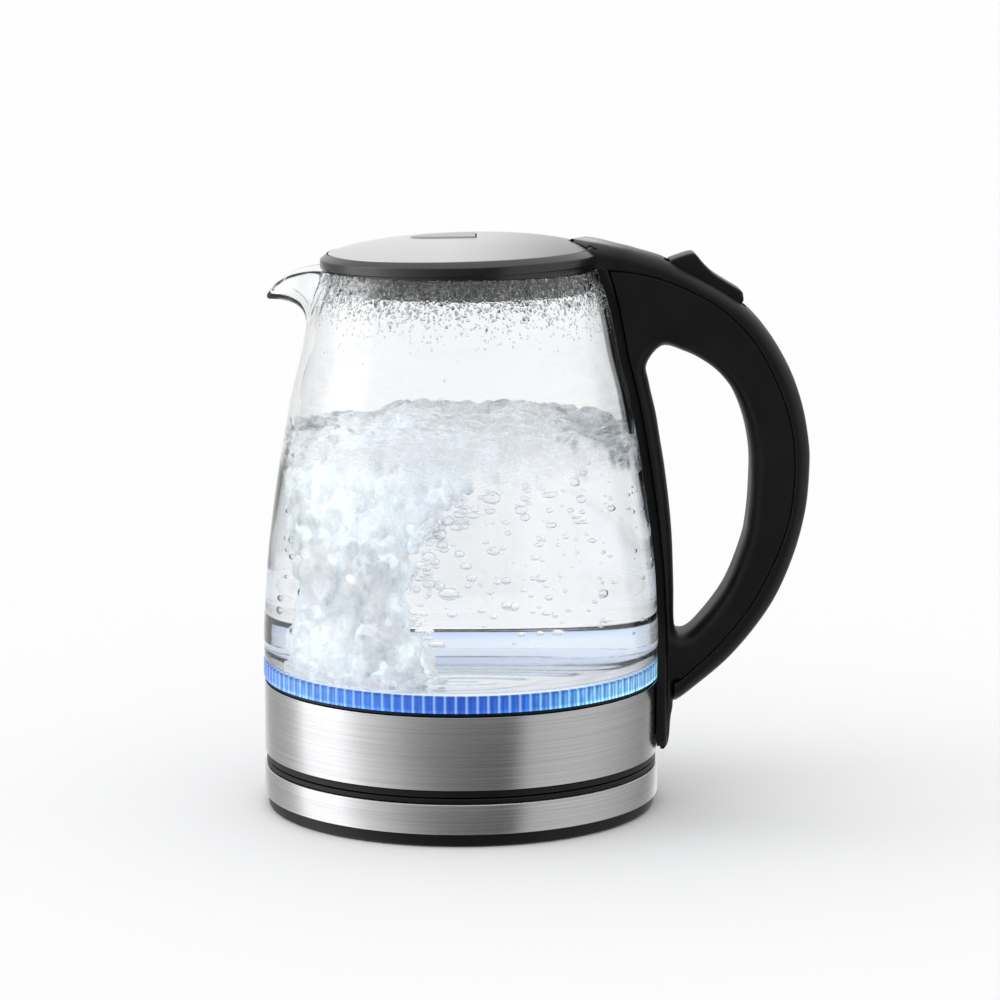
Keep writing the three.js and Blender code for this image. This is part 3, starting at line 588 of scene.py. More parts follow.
def brushed_lid():
    """Lid steel brushed along X, with painted shade that darkens it towards the nose, standing in for the nose's
    reflection.
    """
    look = Look("brushed_lid", (0.62, 0.62, 0.63), Metallic=1.0)
    fine = look.noise((14.0, 2400.0, 14.0), 3.0, 0.62)
    place = look.axes(look.where())[0]
    # painted shade: the colour falls from 0.7 to 0.26 across X, darker towards the nose, as the nose's reflection
    # would make it
    tone = look.ramp(look.spread(place, -0.05, 0.05), [
        (0.0, 0.7), (0.45, 0.68), (0.62, 0.58), (0.78, 0.43), (0.9, 0.31), (1.0, 0.26),
    ])
    streaks = look.mix(look.spread(fine, 0.28, 0.72), (0.88, 0.88, 0.88), (1.0, 1.0, 1.0))
    shade = look.add("VectorMath", {0: tone, 1: streaks}, operation="MULTIPLY").outputs["Vector"]
    look.link(shade, "Base Color")
    look.link(look.spread(fine, 0.25, 0.75, 0.32, 0.4), "Roughness")
    look.bump(fine, 0.00002, 0.3)
    return look.material


def plain_metal(name, tone, roughness, grain=900.0):
    look = Look(name, tone, Metallic=1.0)
    cloud = look.noise(grain, 3.0)
    look.link(look.spread(cloud, 0.3, 0.7, roughness - 0.06, roughness + 0.08), "Roughness")
    look.link(look.mix(cloud, tuple(c * 0.86 for c in tone), tone), "Base Color")
    look.bump(cloud, 0.00003, 0.2)
    return look.material


def plain_plastic(name, tone, roughness, grain=1200.0, contrast=0.12, **values):
    look = Look(name, tone, **values)
    cloud = look.noise(grain, 3.0)
    look.link(look.spread(cloud, 0.3, 0.7, roughness - 0.05, roughness + 0.06), "Roughness")
    look.link(look.mix(cloud, tuple(c * (1 - contrast) for c in tone), tone), "Base Color")
    look.bump(cloud, 0.00002, 0.25)
    return look.material


def clear(name, ior, waves_per_metre, strength=0.2, colour=(1.0, 1.0, 1.0)):
    """Something clear with a slightly wavy surface."""
    look = Look(name, colour, Roughness=0.0, IOR=ior, Transmission_Weight=1.0)
    look.bump(look.noise(waves_per_metre, 1.0), 0.0001, strength)
    look.clear_to_lamps()
    return look.material


def clear_plastic():
    look = Look("clear_plastic", (0.95, 0.97, 0.98), IOR=1.49, Transmission_Weight=1.0)
    look.link(look.spread(look.noise(300.0), 0.3, 0.7, 0.04, 0.12), "Roughness")
    look.clear_to_lamps()
    return look.material


def water():
    """Clear water that turns milky in its rippled top layer. The foam there has painted shade, greyer and bluer in
    the hollows of its ripples, and a painted glow, though it is no lamp.
    """
    look = Look("water", (0.975, 0.99, 1.0), Roughness=0.0, IOR=WATER_IOR, Transmission_Weight=1.0)
    height = look.axes(look.where())[2]
    ripple = look.noise((150.0, 150.0, 420.0), 5.0, 0.68)
    layer = look.spread(height, (WATER_Z - 17) * MM, (WATER_Z - 6) * MM)
    milk = look.times(layer, look.spread(ripple, 0.36, 0.62, 0.12, 0.95))
    look.bump(look.times(ripple, layer), 0.0012, 0.35)
    # painted shade: the foam is greyer and bluer where the ripple noise that makes its bump is low, in the hollows
    colours = [(0.3, (0.7, 0.77, 0.83)), (0.5, (0.9, 0.93, 0.96)), (0.68, (1, 1, 1))]
    shade = look.ramp(ripple, colours)
    foam = look.add("BsdfDiffuse", {"Color": shade}).outputs["BSDF"]
    # painted glow: the foam emits a little light, though it is no lamp
    painted_glow = look.add("Emission", {"Color": shade, "Strength": 0.24}).outputs["Emission"]
    foam = look.add("AddShader", {0: foam, 1: painted_glow}).outputs[0]
    mixed = look.add("MixShader", {0: milk, 1: look.shader.outputs["BSDF"], 2: foam}).outputs[0]
    look.clear_to_lamps(mixed)
    return look.material


def froth():
    """White boiling froth: fine bubbles, with painted shade that makes it bluer in the hollows of its bump,
    thinner in places. It has a painted glow, though it is no lamp.
    """
    # painted glow: the froth emits light in its own colour, though it is no lamp
    look = Look("froth", (0.97, 0.985, 1.0), Roughness=0.35, IOR=1.25, Specular_IOR_Level=0.4,
                Emission_Strength=0.3)
    streak = look.noise((240.0, 240.0, 80.0), 5.0, 0.65)
    # painted shade: the streak noise that raises the bump also turns the colour grey-blue where it is low, in the
    # hollows
    shade = look.ramp(streak, [
        (0.3, (0.52, 0.6, 0.67)), (0.43, (0.8, 0.86, 0.9)), (0.54, (0.95, 0.965, 0.98)), (0.7, (1, 1, 1)),
    ])
    look.link(shade, "Base Color")
    look.link(shade, "Emission Color")
    cells = look.add("TexVoronoi", {"Vector": look.where((560.0, 560.0, 560.0)), "Scale": 1.0},
                     feature="SMOOTH_F1").outputs["Distance"]
    look.bump(look.math("ADD", look.times(streak, 2.0), cells), 0.0009, 0.8)
    patch = look.noise((48.0, 48.0, 36.0), 3.0, 0.6)
    thinner_above = look.spread(look.axes(look.where())[2], 0.1, 0.15, 0.04, -0.1)
    look.link(look.spread(look.math("ADD", patch, thinner_above), 0.36, 0.56, 0.35, 1.0), "Alpha")
    return look.material


def light_ring():
    """Clear ribbed plastic that glows, lit from below: deep blue in front and, as painted light, paler to the
    sides, with a bright lower edge and painted white glints along the ribs.
    """
    look = Look("light_ring", (0.1, 0.35, 0.9), Roughness=0.15, IOR=1.49, Specular_IOR_Level=0.4,
                Emission_Strength=0.72)
    x, y, z = look.axes(look.where())
    angle = look.bearing(x, y)
    # the ring's glow, with painted light: its colour is set by bearing, deep blue in front and paler to the sides
    glow_with_painted_sides = look.ramp(look.spread(angle, -math.pi, math.pi), [
        (0.0, (0.03, 0.14, 0.7)), (0.1, (0.16, 0.5, 0.95)), (0.2, (0.05, 0.15, 0.6)),
        (0.28, (0.13, 0.22, 0.6)), (0.35, (0.2, 0.45, 0.95)), (0.42, (0.06, 0.25, 0.78)),
        (0.5, (0.01, 0.045, 0.36)), (0.55, (0.02, 0.13, 0.56)), (0.59, (0.17, 0.55, 0.95)),
        (0.64, (0.35, 0.8, 1.0)), (0.76, (0.45, 0.9, 1.0)), (0.86, (0.08, 0.3, 0.9)),
        (1.0, (0.03, 0.14, 0.7)),
    ])
    ribs = look.spread(look.math("SINE", look.times(angle, float(RIBS))), -1.0, 1.0, 0.42, 1.1)
    # painted glints: thin white lines along the ribs, added to the glow
    every_fourth = look.math("ABSOLUTE", look.math("SINE", look.times(angle, RIBS / 4)))
    painted_glint = look.math("POWER", every_fourth, 14.0)
    patch = look.spread(look.noise((420.0, 420.0, 160.0), 2.0), 0.35, 0.65, 0.6, 1.2)
    foot = look.spread(z, (LIGHT_BOTTOM + 1.5) * MM, (LIGHT_BOTTOM + 0.8) * MM, 1.0, 2.0)
    top = look.spread(z, (LIGHT_TOP - 1.1) * MM, (LIGHT_TOP - 0.5) * MM, 1.0, 0.4)
    level = look.times(look.times(ribs, patch), look.times(foot, top))
    white = look.scaled((0.35, 0.5, 0.6), painted_glint)
    outer = look.add("VectorMath", {0: look.scaled(glow_with_painted_sides, level), 1: white}, operation="ADD").outputs["Vector"]
    flat = look.add("CombineXYZ", {"X": x, "Y": y}).outputs["Vector"]
    radius = look.add("VectorMath", {0: flat}, operation="LENGTH").outputs["Value"]
    outside = look.spread(radius, 0.0778, 0.0794)
    rise = look.spread(z, (LIGHT_BOTTOM + 1.5) * MM, (LIGHT_TOP - 0.5) * MM)
    inner = look.ramp(rise, [(0.0, (0.9, 0.93, 0.97)), (0.55, (0.82, 0.88, 0.97)), (1.0, (0.42, 0.6, 0.96))])
    look.link(look.mix(outside, inner, outer), "Emission Color")
    look.link(look.mix(outside, (0.8, 0.88, 0.98), (0.02, 0.09, 0.4)), "Base Color")
    return look.material


SLOT_LOOKS = {
    "black_plastic": black_moulding("black_satin"),
    "brushed_steel": brushed_steel("brushed_steel", (10.0, 10.0, 2600.0), (0.64, 0.64, 0.65), 0.27),
    "bright_steel": plain_metal("bright_steel", (0.62, 0.62, 0.63), 0.22),
    "jug_glass": clear("jug_glass", 1.47, (26.0, 26.0, 9.0), 0.08, (0.985, 0.993, 1.0)),
    "clear_plastic": clear_plastic(),
    "light_ring": light_ring(),
    "silicone": plain_plastic("silicone", (0.72, 0.74, 0.75), 0.5, Subsurface_Weight=0.1),
    "rubber": plain_plastic("rubber", (0.025, 0.025, 0.026), 0.7, 600.0, 0.3),
    "aluminium": plain_metal("aluminium", (0.6, 0.61, 0.62), 0.42),
    "brass": plain_metal("brass", (0.72, 0.52, 0.22), 0.25),
    "circuit_board": plain_plastic("circuit_board", (0.03, 0.17, 0.08), 0.4, 500.0, 0.3),
    "led": plain_plastic("led", (0.05, 0.14, 0.5), 0.2),
    "tab_plastic": plain_plastic("tab_plastic", (0.27, 0.275, 0.28), 0.32, 1500.0, 0.1),
    "switch_plastic": plain_plastic("switch_plastic", (0.72, 0.69, 0.6), 0.45),
    "wire": plain_plastic("wire", (0.4, 0.08, 0.05), 0.55),
}

for part in frame["record"]["subparts"]:
    cad = frame["nodes"][part["node"]].data
    cad.materials.clear()
    cad.materials.append(SLOT_LOOKS[part["material_slot"]])


def turned(name, body, slot, node, profile, material=None, steps=160, radius=0.3):
    """A round piece that stands for a CAD node."""
    finish_piece(revolve(name, rounded(profile, radius), steps), body, slot, node, material)


# ---- power base


def base_pan():
    inner = 76.6
    profile = [
        (0, 0), (PAN_R, 0, 1.4), (PAN_R, 5, 0.4), (PAN_R - 0.3, 5, 0.1), (PAN_R - 0.3, 16.2), (inner, 16.2),
        (inner, 2.6), (0, 2.6),
    ]
    piece = revolve("base_foot", rounded(profile))
    foot_pads = (90, 67, 6.3, 1.7)
    screws = (30, 60, 3.3, 2.4)
    for first, distance, radius, depth in (foot_pads, screws):
        for degrees in (first, first + 120, first + 240):
            x, y, _ = polar(distance, math.radians(degrees), 0)
            combine(piece, rod_z(radius, x, y, -1, depth))
    combine(piece, rod_y(CORD_HOLE_R, 0, CORD_Z, 70, 85))
    finish_piece(piece, "power_base", "black_plastic", "base_pan")


def steel_band():
    inner = BODY_R - 0.8
    flange = 78.4
    profile = [
        (inner, BAND_BOTTOM), (BODY_R, BAND_BOTTOM), (BODY_R, BAND_TOP, 0.5), (flange, BAND_TOP),
        (flange, BAND_TOP - 0.7), (inner, BAND_TOP - 0.7),
    ]
    piece = revolve("base_band", rounded(profile), 200)
    combine(piece, rod_y(CORD_HOLE_R, 0, CORD_Z, 70, 85))
    finish_piece(piece, "power_base", "brushed_steel", "base_steel_band")


def cord_gland():
    profile = [
        (3.6, 72), (6.2, 72), (6.2, 75.6), (5.5, 75.6), (5.5, 77), (5.1, 77.3), (5.5, 77.6), (5.5, 79),
        (5, 79.8), (3.6, 79.8),
    ]
    piece = revolve("cord_gland_ring", rounded(profile, 0.2), 48)
    piece.data.transform(Matrix.Translation((0, 0, CORD_Z * MM)) @ Matrix.Rotation(-math.pi / 2, 4, "X"))
    finish_piece(piece, "power_base", "rubber", "cord_gland")


base_pan()
steel_band()
cord_gland()
turned("base_cover", "power_base", "black_plastic", "base_top_cover", [
    (13.4, 16.6), (76, 16.6), (76, 17.5), (79.2, 17.5), (79.2, BASE_COVER_TOP, 0.6), (75, BASE_COVER_TOP),
    (72, 18.4), (13.4, 18.4),
])
turned("base_tower", "power_base", "black_plastic", "base_connector", [
    (0, 6), (17, 6), (17, 8.5), (13, 8.5), (13, 13.6), (17.5, 13.6), (17.5, 16.2), (13, 16.2), (13, 27, 0.8),
    (11.2, 27), (11.2, 15), (7, 15), (7, 27), (4.6, 27), (4.6, 15), (0, 15),
], steps=72)

# ---- jug bottom

turned("jug_socket", "jug_connector", "black_plastic", "jug_connector", [
    (2.4, 28.2), (2.4, 20.5), (4.2, 20.5), (4.2, 27.7), (13.6, 27.7), (13.6, 20.8), (18.6, 20.8),
    (18.6, 24.2), (20.6, 24.5), (20.6, 26), (18.6, 26), (18.6, 29.6), (0.9, 29.6), (0.9, 28.2),
], steps=72)
turned("bottom_cover", "jug", "black_plastic", "jug_bottom_cover", [
    (21, 22.2), (74.8, 22.2), (76, 19.9), (79.2, 19.9), (79.2, 22.4), (76.5, 22.4), (75.5, 24.1), (21, 24.1),
], radius=0.35)
turned("skirt", "jug", "brushed_steel", "steel_skirt", [
    (79.3, SKIRT_BOTTOM), (79.8, SKIRT_BOTTOM), (79.8, SKIRT_TOP), (79.3, SKIRT_TOP),
], steps=220, radius=0.22)
turned("housing", "jug", "black_plastic", "heater_housing", [
    (74.5, 24.4), (77, 24.4), (77, 51.9), (79.3, 51.9), (79.3, 53.15, 0.1), (75.7, 53.15, 0.1), (75.7, 49.3),
    (71.5, 49.3), (71.5, 47.5), (74.5, 46.5),
])
# painted glow: the seal under the glass emits pale blue light, though it is no lamp
seal_painted_glow = plain_plastic("silicone_painted_glow", (0.85, 0.9, 0.95), 0.5, Emission_Color=(0.75, 0.84, 1, 1),
                         Emission_Strength=0.5)
turned("seal_under_glass", "jug", "silicone", "glass_seal", [
    (72, 50.8), (75.3, 50.8), (75.3, 53.2), (72, 53.2),
], seal_painted_glow)


def ribbed_ring():
    """The light ring, with its ribs all round as moulded relief."""
    inner = 77.2
    outer = BODY_R + 0.1
    half_depth = 0.16
    profile = rounded([
        (inner, LIGHT_BOTTOM), (outer, LIGHT_BOTTOM, 0.5), (outer, LIGHT_TOP, 0.5), (inner, LIGHT_TOP),
    ])

    def relief(angle, r, z):
        on_the_face = r > outer - 0.6 and LIGHT_BOTTOM + 0.6 < z < LIGHT_TOP - 0.5
        return r - half_depth * (1 - math.cos(angle * RIBS)) if on_the_face else r

    rows = [LIGHT_BOTTOM + 0.7, LIGHT_BOTTOM + 1.0, LIGHT_TOP - 0.9, LIGHT_TOP - 0.6]
    split = next(i for i, (r, z) in enumerate(profile) if z > LIGHT_BOTTOM + 3)
    profile = [*profile[:split], *((outer, z) for z in rows), *profile[split:]]
    piece = revolve("ribbed_light_ring", profile, RIBS * 5, relief)
    finish_piece(piece, "jug", "light_ring", "light_ring", sharp=60)


def plate():
    """The jug's floor: brushed steel with shallow pressed rings."""
    half_depth = 0.2
    turn_per_mm = 0.42
    radii = np.linspace(0, 66, 60)
    ripple = half_depth * (1 - np.cos(radii * turn_per_mm)) * np.minimum(1, (67 - radii) / 6)
    rim = [(68.4, PLATE_TOP), (70.4, 50.5), (75.4, 50.5), (75.4, 49.6), (70, 49.6), (68, 49.8), (0, 49.8)]
    piece = revolve("plate", [*zip(radii, PLATE_TOP - ripple), *rim])
    steel = brushed_steel("brushed_plate", (700.0, 700.0, 60.0), (0.8, 0.81, 0.84), 0.1, line=0.03)
    finish_piece(piece, "jug", "bright_steel", "heater_plate", steel)


ribbed_ring()
plate()

# ---- glass jug with its spout

SPOUT_HALF_DEGREES = 17.5
SPOUT_START_Z = 193.0     # the spout leaves the round wall here, in its middle
SPOUT_SIDE_Z = 213.0      # and here at its sides
SPOUT_COLUMNS = 18        # on each side of the middle
ROUND_COLUMNS = 170
GLASS_ROWS = 26           # from the spout's start to the rim
EDGE_ROWS = 10            # the topmost of them thin towards the edge
# Half of the lip, from the tip back to the rim: x, y, z.
SPOUT_LIP = [
    (-77.3, 0, 205.4), (-76.5, 2.4, 207.5), (-74.4, 5.0, 210.5), (-71.2, 7.6, 213.4), (-67.4, 9.9, 215.6),
    (-63.2, 12.2, 217), (-59, 14.4, 217.8), (-55.6, 16.2, 218),
]


def pick(line, count):
    """Some of a line's points, evenly chosen."""
    return line[np.linspace(0, len(line) - 1, count).round().astype(int)]


def glass_columns():
    """Outer lines of the glass from the spout's start up to its edge: an angle and its points per column."""
    spout = math.radians(SPOUT_HALF_DEGREES)
    lip = pick(spline(SPOUT_LIP, 0.5), SPOUT_COLUMNS + 1)
    lip[0, 1] = 0
    columns = []
    heights_up = np.linspace(SPOUT_START_Z, RIM_Z, GLASS_ROWS)
    for angle in np.linspace(-math.pi + spout, math.pi - spout, ROUND_COLUMNS + 1)[1:-1]:
        columns.append((angle, np.column_stack(polar(glass_radius(heights_up), angle, heights_up))))
    for i in range(-SPOUT_COLUMNS, SPOUT_COLUMNS + 1):
        share = abs(i) / SPOUT_COLUMNS
        side = 1 if i < 0 else -1
        angle = math.pi - side * share * spout
        # the lower end of the free stretch rises as the column nears the side of the spout
        start_z = SPOUT_START_Z + (SPOUT_SIDE_Z - SPOUT_START_Z) * share**1.6
        start = np.array(polar(float(glass_radius(start_z)), angle, start_z))
        up = np.array(polar(float(glass_radius(start_z + 1)), angle, start_z + 1)) - start
        up /= np.linalg.norm(up)
        end = lip[abs(i)] * np.array([1, side, 1])
        size = np.linalg.norm(end - start)
        back = (1 - share) * np.array([1.0, 0, 0.02]) - share * up
        back /= np.linalg.norm(back)
        p1 = start + up * size * (0.5 - 0.16 * share)
        p2 = end + back * size * (0.5 - 0.16 * share)
        t = np.linspace(0, 1, 40)[:, None]
        curve = (1 - t) ** 3 * start + 3 * (1 - t) ** 2 * t * p1 + 3 * (1 - t) * t * t * p2 + t**3 * end
        below = np.arange(SPOUT_START_Z, start_z - 0.4, 0.7)
        line = np.vstack([np.column_stack(polar(glass_radius(below), angle, below)), curve])
        columns.append((angle, pick(even(line, 0.05), GLASS_ROWS)))
    columns.sort(key=lambda column: column[0] % TURN)
    return columns


def glass_jug():
    neck = GLASS_NECK_R - GLASS_WALL
    # matching rows of the outer and the inner wall round the foot
    foot = [
        ((GLASS_NECK_R, 53.5), (neck, 53.5)), ((GLASS_NECK_R, 56), (neck, 56)),
        ((GLASS_NECK_R, 59.4), (neck, 58.6)), ((75.9, 60.1), (72.8, 59.8)), ((78.6, 60.3), (74.3, 61.6)),
        ((79.6, 60.7), (75.6, 63)), ((79.95, 61.8), (76.5, 64.6)), ((80, 64.5), (76.9, 66.8)),
        ((80, 68), (77, 69.5)),
    ]
    wall = np.arange(71, SPOUT_START_Z - 1, 2.0)
    columns = glass_columns()
    outer = []
    for angle, upper in columns:
        low = [polar(r, angle, z) for (r, z), _ in foot]
        outer.append(np.vstack([low, np.column_stack(polar(glass_radius(wall), angle, wall)), upper]))
    outer = np.array(outer)
    along = np.gradient(outer, axis=1)
    round_way = np.roll(outer, -1, axis=0) - np.roll(outer, 1, axis=0)
    normal = np.cross(round_way, along)
    normal /= np.linalg.norm(normal, axis=2)[:, :, None]
    thick = np.full(outer.shape[1], GLASS_WALL)
    thick[-EDGE_ROWS:] = np.linspace(GLASS_WALL, GLASS_EDGE, EDGE_ROWS)
    inner = outer - normal * thick[None, :, None]
    for j, (_, (r, z)) in enumerate(foot):
        for i, (angle, _) in enumerate(columns):
            inner[i, j] = polar(r, angle, z)
    tip = along[:, -1] / np.linalg.norm(along[:, -1], axis=1)[:, None]
    middle = (outer[:, -1] + inner[:, -1]) / 2
    across = (outer[:, -1] - inner[:, -1]) / 2
    reach = np.linalg.norm(across, axis=1)[:, None]
    bulge = tip * reach * 0.8
    edge = [middle + across * math.cos(a) + bulge * math.sin(a) for a in np.linspace(0, math.pi, 9)[1:-1]]
    # the round edge is set back by its own height, so that it stays under the collar
    back = bulge * 0.9
    outer[:, -1] -= back
    inner[:, -1] -= back
    edge = [row - back for row in edge]
    loops = [*outer.transpose(1, 0, 2), *edge, *inner.transpose(1, 0, 2)[::-1]]
    finish_piece(skin("jug_wall", loops, "joined"), "jug", "jug_glass", "glass_jug", sharp=70)


glass_jug()

# ---- collar, handle and switch


def nose_half(points):
    """Half width of the nose: a blunt V in plan, then a shoulder that runs into the handle."""
    x = points[:, 0]
    share = (x - NOSE_X) / (NOSE_SHOULDER_X - NOSE_X)
    wedge = NOSE_EDGE_HALF + (NOSE_HALF - NOSE_EDGE_HALF) * share
    shoulder = np.interp(x, [54, 72], [NOSE_HALF, HANDLE_HALF])
    return np.clip(np.minimum(wedge, shoulder), 0.6, None)


def nose_hole(low):
    """The hole that the lid leaves for the nose, from a height up."""
    front = NOSE_X - 1.2 * NOSE_ROOM
    side = NOSE_HALF + NOSE_ROOM
    shoulder = NOSE_SHOULDER_X - 1.6 * NOSE_ROOM
    half = [(front, NOSE_EDGE_HALF), (shoulder, side), (60, side)]
    return slab("nose_hole", [*((x, -y) for x, y in half), *half[::-1]], low, 240, "Z")


def collar_ring():
    band = COLLAR_R - 0.7
    profile = [
        (COLLAR_BORE_R, COLLAR_BOTTOM), (band, COLLAR_BOTTOM, 0.3), (band, 219.3, 0.2),
        (COLLAR_R, 219.6, 0.25), (COLLAR_R, COLLAR_EDGE, 0.35), (COLLAR_BORE_R, COLLAR_TOP, 0.25),
    ]
    ring = lean(revolve("collar_ring", rounded(profile, 0.25), 200))
    inner, outer, top = 50.5, 52.4, COLLAR_BOTTOM + 0.4
    profile = [(inner, INNER_SKIRT_BOTTOM), (outer, INNER_SKIRT_BOTTOM), (outer, top), (inner, top)]
    skirt = revolve("collar_skirt", rounded(profile))
    wide = 80 * math.tan(math.radians(50))
    combine(skirt, slab("spout_side", [(0, 0), (-80, -wide), (-80, wide)], 200, COLLAR_BOTTOM - 0.6, "Z"))
    low, high = COLLAR_BOTTOM - 0.2, 220
    web = revolve("collar_web", [(50.6, low), (55.2, low), (55.2, high), (50.6, high)])
    return join(ring, skirt, web)


def handle_cover():
    top = spline(HANDLE_OUTSIDE, 1.3)
    seam = offset_line(spline(SEAM, 1.3), GAP + 0.05)[::-1]
    swing = [(HINGE_X + NOSE_SWING_R * math.cos(a), HINGE_Z + NOSE_SWING_R * math.sin(a))
             for a in np.linspace(math.radians(-116), math.radians(-172), 8)]
    front = [(55.2, 219.2), (51, 218.6), *swing, (43.9, 227.2)]
    end = [(86.15, 45), (86.4, 50.2)]
    outline = np.vstack([top, end, seam, even(front, 1.3)])
    rims = [(top, 5.0, lambda p: np.interp(p[:, 0], [50, 74], [3.0, 9.0])), (seam, 0.5, 0.5)]
    piece = crowned_slab("collar_and_handle", outline, [], rims, nose_half)
    slot = [(81.2, 232), (81.2, 215), (86, 203), (112, 199.6), (114.2, 203.5), (114.2, 216), (104, 226)]
    combine(piece, slab("slot", slot, -ROCKER_HALF - 0.45, ROCKER_HALF + 0.45))
    for low, high in both_sides(HINGE_ARM_Y[0] - 0.4, HINGE_ARM_Y[1] + 0.2):
        combine(piece, block(40, HINGE_X + 2.6, low, high, HINGE_Z - 4.6, HINGE_Z + 0.9))
    join(piece, collar_ring())
    finish_piece(piece, "jug", "black_plastic", "collar_cover", collar_moulding(), 34)


def handle_grip():
    seam = spline(SEAM, 1.3)
    foot = spline([(86, 51), (85.7, 41), (84.9, 36), (84.2, 27), (82.8, 23.4), (80.9, 22.6)], 1.3)
    z = np.arange(24, RIM_Z - 0.5, 1.5)
    front = np.column_stack([np.where(z < GLASS_FOOT_Z, BODY_R, glass_radius(z)) + GRIP_GAP, z])
    outline = np.vstack([seam, foot, front])
    hole = spline(FINGER_HOLE, 1.3, closed=True)
    rims = [(np.vstack([hole, hole[:1]]), 5.0, 8.0), (seam, 0.5, 0.5), (foot, 3.0, 5.0)]
    piece = crowned_slab("grip", outline, [hole], rims, HANDLE_HALF)
    # a tongue behind the seam, so that no light shows through it
    middle = seam[8:-14]
    tongue = np.vstack([offset_line(middle, 1.2), offset_line(middle, -1.2)[::-1]])
    join(piece, slab("tongue", tongue, -12.4, 12.4))
    soft = black_moulding("black_grip", 0.4, 0.5, 0.0038)
    finish_piece(piece, "jug", "black_plastic", "handle_grip", soft, 34)


def handle_strip():
    """The strip between glass and handle: a curved band with a groove near each long edge."""
    top = STRIP_T + GAP
    groove = STRIP_T - 0.4

    def section(w):
        edge = rounded([
            (-w, GAP), (-w, top, 0.9), (-w + 3.1, top, 0.1), (-w + 3.3, groove, 0.1), (-w + 3.9, groove, 0.1),
            (-w + 4.1, top, 0.1), (-w + 8, top, 0),
        ], 0.0, 2)
        left = [*edge[1:], *((u, top) for u in np.linspace(-w + 9.5, 0, 8))]
        right = [(-u, t) for u, t in left[::-1][1:]]
        return [*left, *right, *((u, GAP) for u in np.linspace(w, -w, 26))]

    rows = []
    for z in np.arange(STRIP_BOTTOM, STRIP_TOP + 1.4, 1.6):
        w = float(np.interp(z, [25, 28, 50, 75, 200, 217], [14, 16, 16, STRIP_HALF, STRIP_HALF, 15]))
        body = BODY_R + 0.1 if z < GLASS_FOOT_Z else float(glass_radius(z))
        thin = 0.9 if z - STRIP_BOTTOM < 1 else 1.0
        rows.append([(math.sqrt((body + t * thin) ** 2 - u * u), u, z) for u, t in section(w)])
    finish_piece(skin("strip", rows, "capped"), "jug", "black_plastic", "handle_strip", sharp=50)


def rocker():
    top = spline([(83.2, 221.3), (87, 222.7), (91.2, 224), (93, 224), (94.6, 222.6), (97.4, 219.2),
                  (101.1, 215.8), (106.4, 212.4), (110.6, 209.9), (112.5, 208.4)], 0.8)
    rest = [(112.8, 206), (112.6, 204.5), (110.4, 203.9), (106.8, 205.2), (100.4, 204.6), (95.6, 204.2),
            (95, 207), (90, 209.6), (86, 211.6), (83.4, 216)]
    outline = np.vstack([top, even(rest, 0.9)])
    piece = crowned_slab("switch_rocker", outline, [], [(top, 0.9, 0.9)], ROCKER_HALF, 1.6)
    combine(piece, rod_y(ROCKER_PIN_R + 0.15, ROCKER_X, ROCKER_Z, -9, 9, 24))
    finish_piece(piece, "rocker", "black_plastic", "rocker", sharp=34)


def pin(name, node, radius, x, z, half):
    """A steel pin whose ends stay inside the rounded handle."""
    profile = rounded([(0, -half), (radius, -half), (radius, half), (0, half)], 0.2)
    piece = revolve(name, profile, 32)
    piece.data.transform(Matrix.Translation((x * MM, 0, z * MM)) @ Matrix.Rotation(math.pi / 2, 4, "X"))
    finish_piece(piece, "jug", "bright_steel", node)


handle_cover()
pin("hinge_pin", "lid_hinge_pin", HINGE_PIN_R, HINGE_X, HINGE_Z, HINGE_ARM_Y[1] - 0.1)
pin("switch_pin", "rocker_pin", ROCKER_PIN_R, ROCKER_X, ROCKER_Z, ROCKER_HALF + 1.2)
handle_grip()
handle_strip()
rocker()

# ---- lid


def dome_height(radius):
    return COLLAR_TOP + LID_RISE * (1 - (radius / LID_R) ** 3)


def tab_plan(margin, steps=28):
    """D-shaped plan: straight towards the handle, half an ellipse towards the spout."""
    edge = TAB_HIGH.x + margin
    half = TAB_HIGH.y + margin
    reach = TAB_HIGH.x - TAB_LOW.x + margin
    arc = [(edge - reach * math.sin(a), half * math.cos(a)) for a in np.linspace(0, math.pi, steps)]
    return [(edge, half), *arc[1:-1], (edge, -half)]


def lid_disc():
    radii = np.r_[np.linspace(0, 48, 25), np.linspace(49, LID_R - 0.3, 6)]
    rim = dome_height(LID_R)
    inner = LID_R - LID_SHEET
    top = [(r, dome_height(r)) for r in radii]
    hem = [(LID_R - 0.08, rim + 0.02), (LID_R, rim - 0.3), (LID_R, 224.2), (inner, 224.2), (inner, rim - 0.7)]
    bottom = [(r, dome_height(r) - LID_SHEET) for r in radii[::-1][4:]]
    piece = lean(revolve("lid_plate", [*top, *hem, *bottom], 200))
    combine(piece, slab("tab_hole", tab_plan(0.5), 220, 240, "Z"))
    combine(piece, nose_hole(215))
    finish_piece(piece, "lid", "brushed_steel", "lid_disc", brushed_lid(), 30)


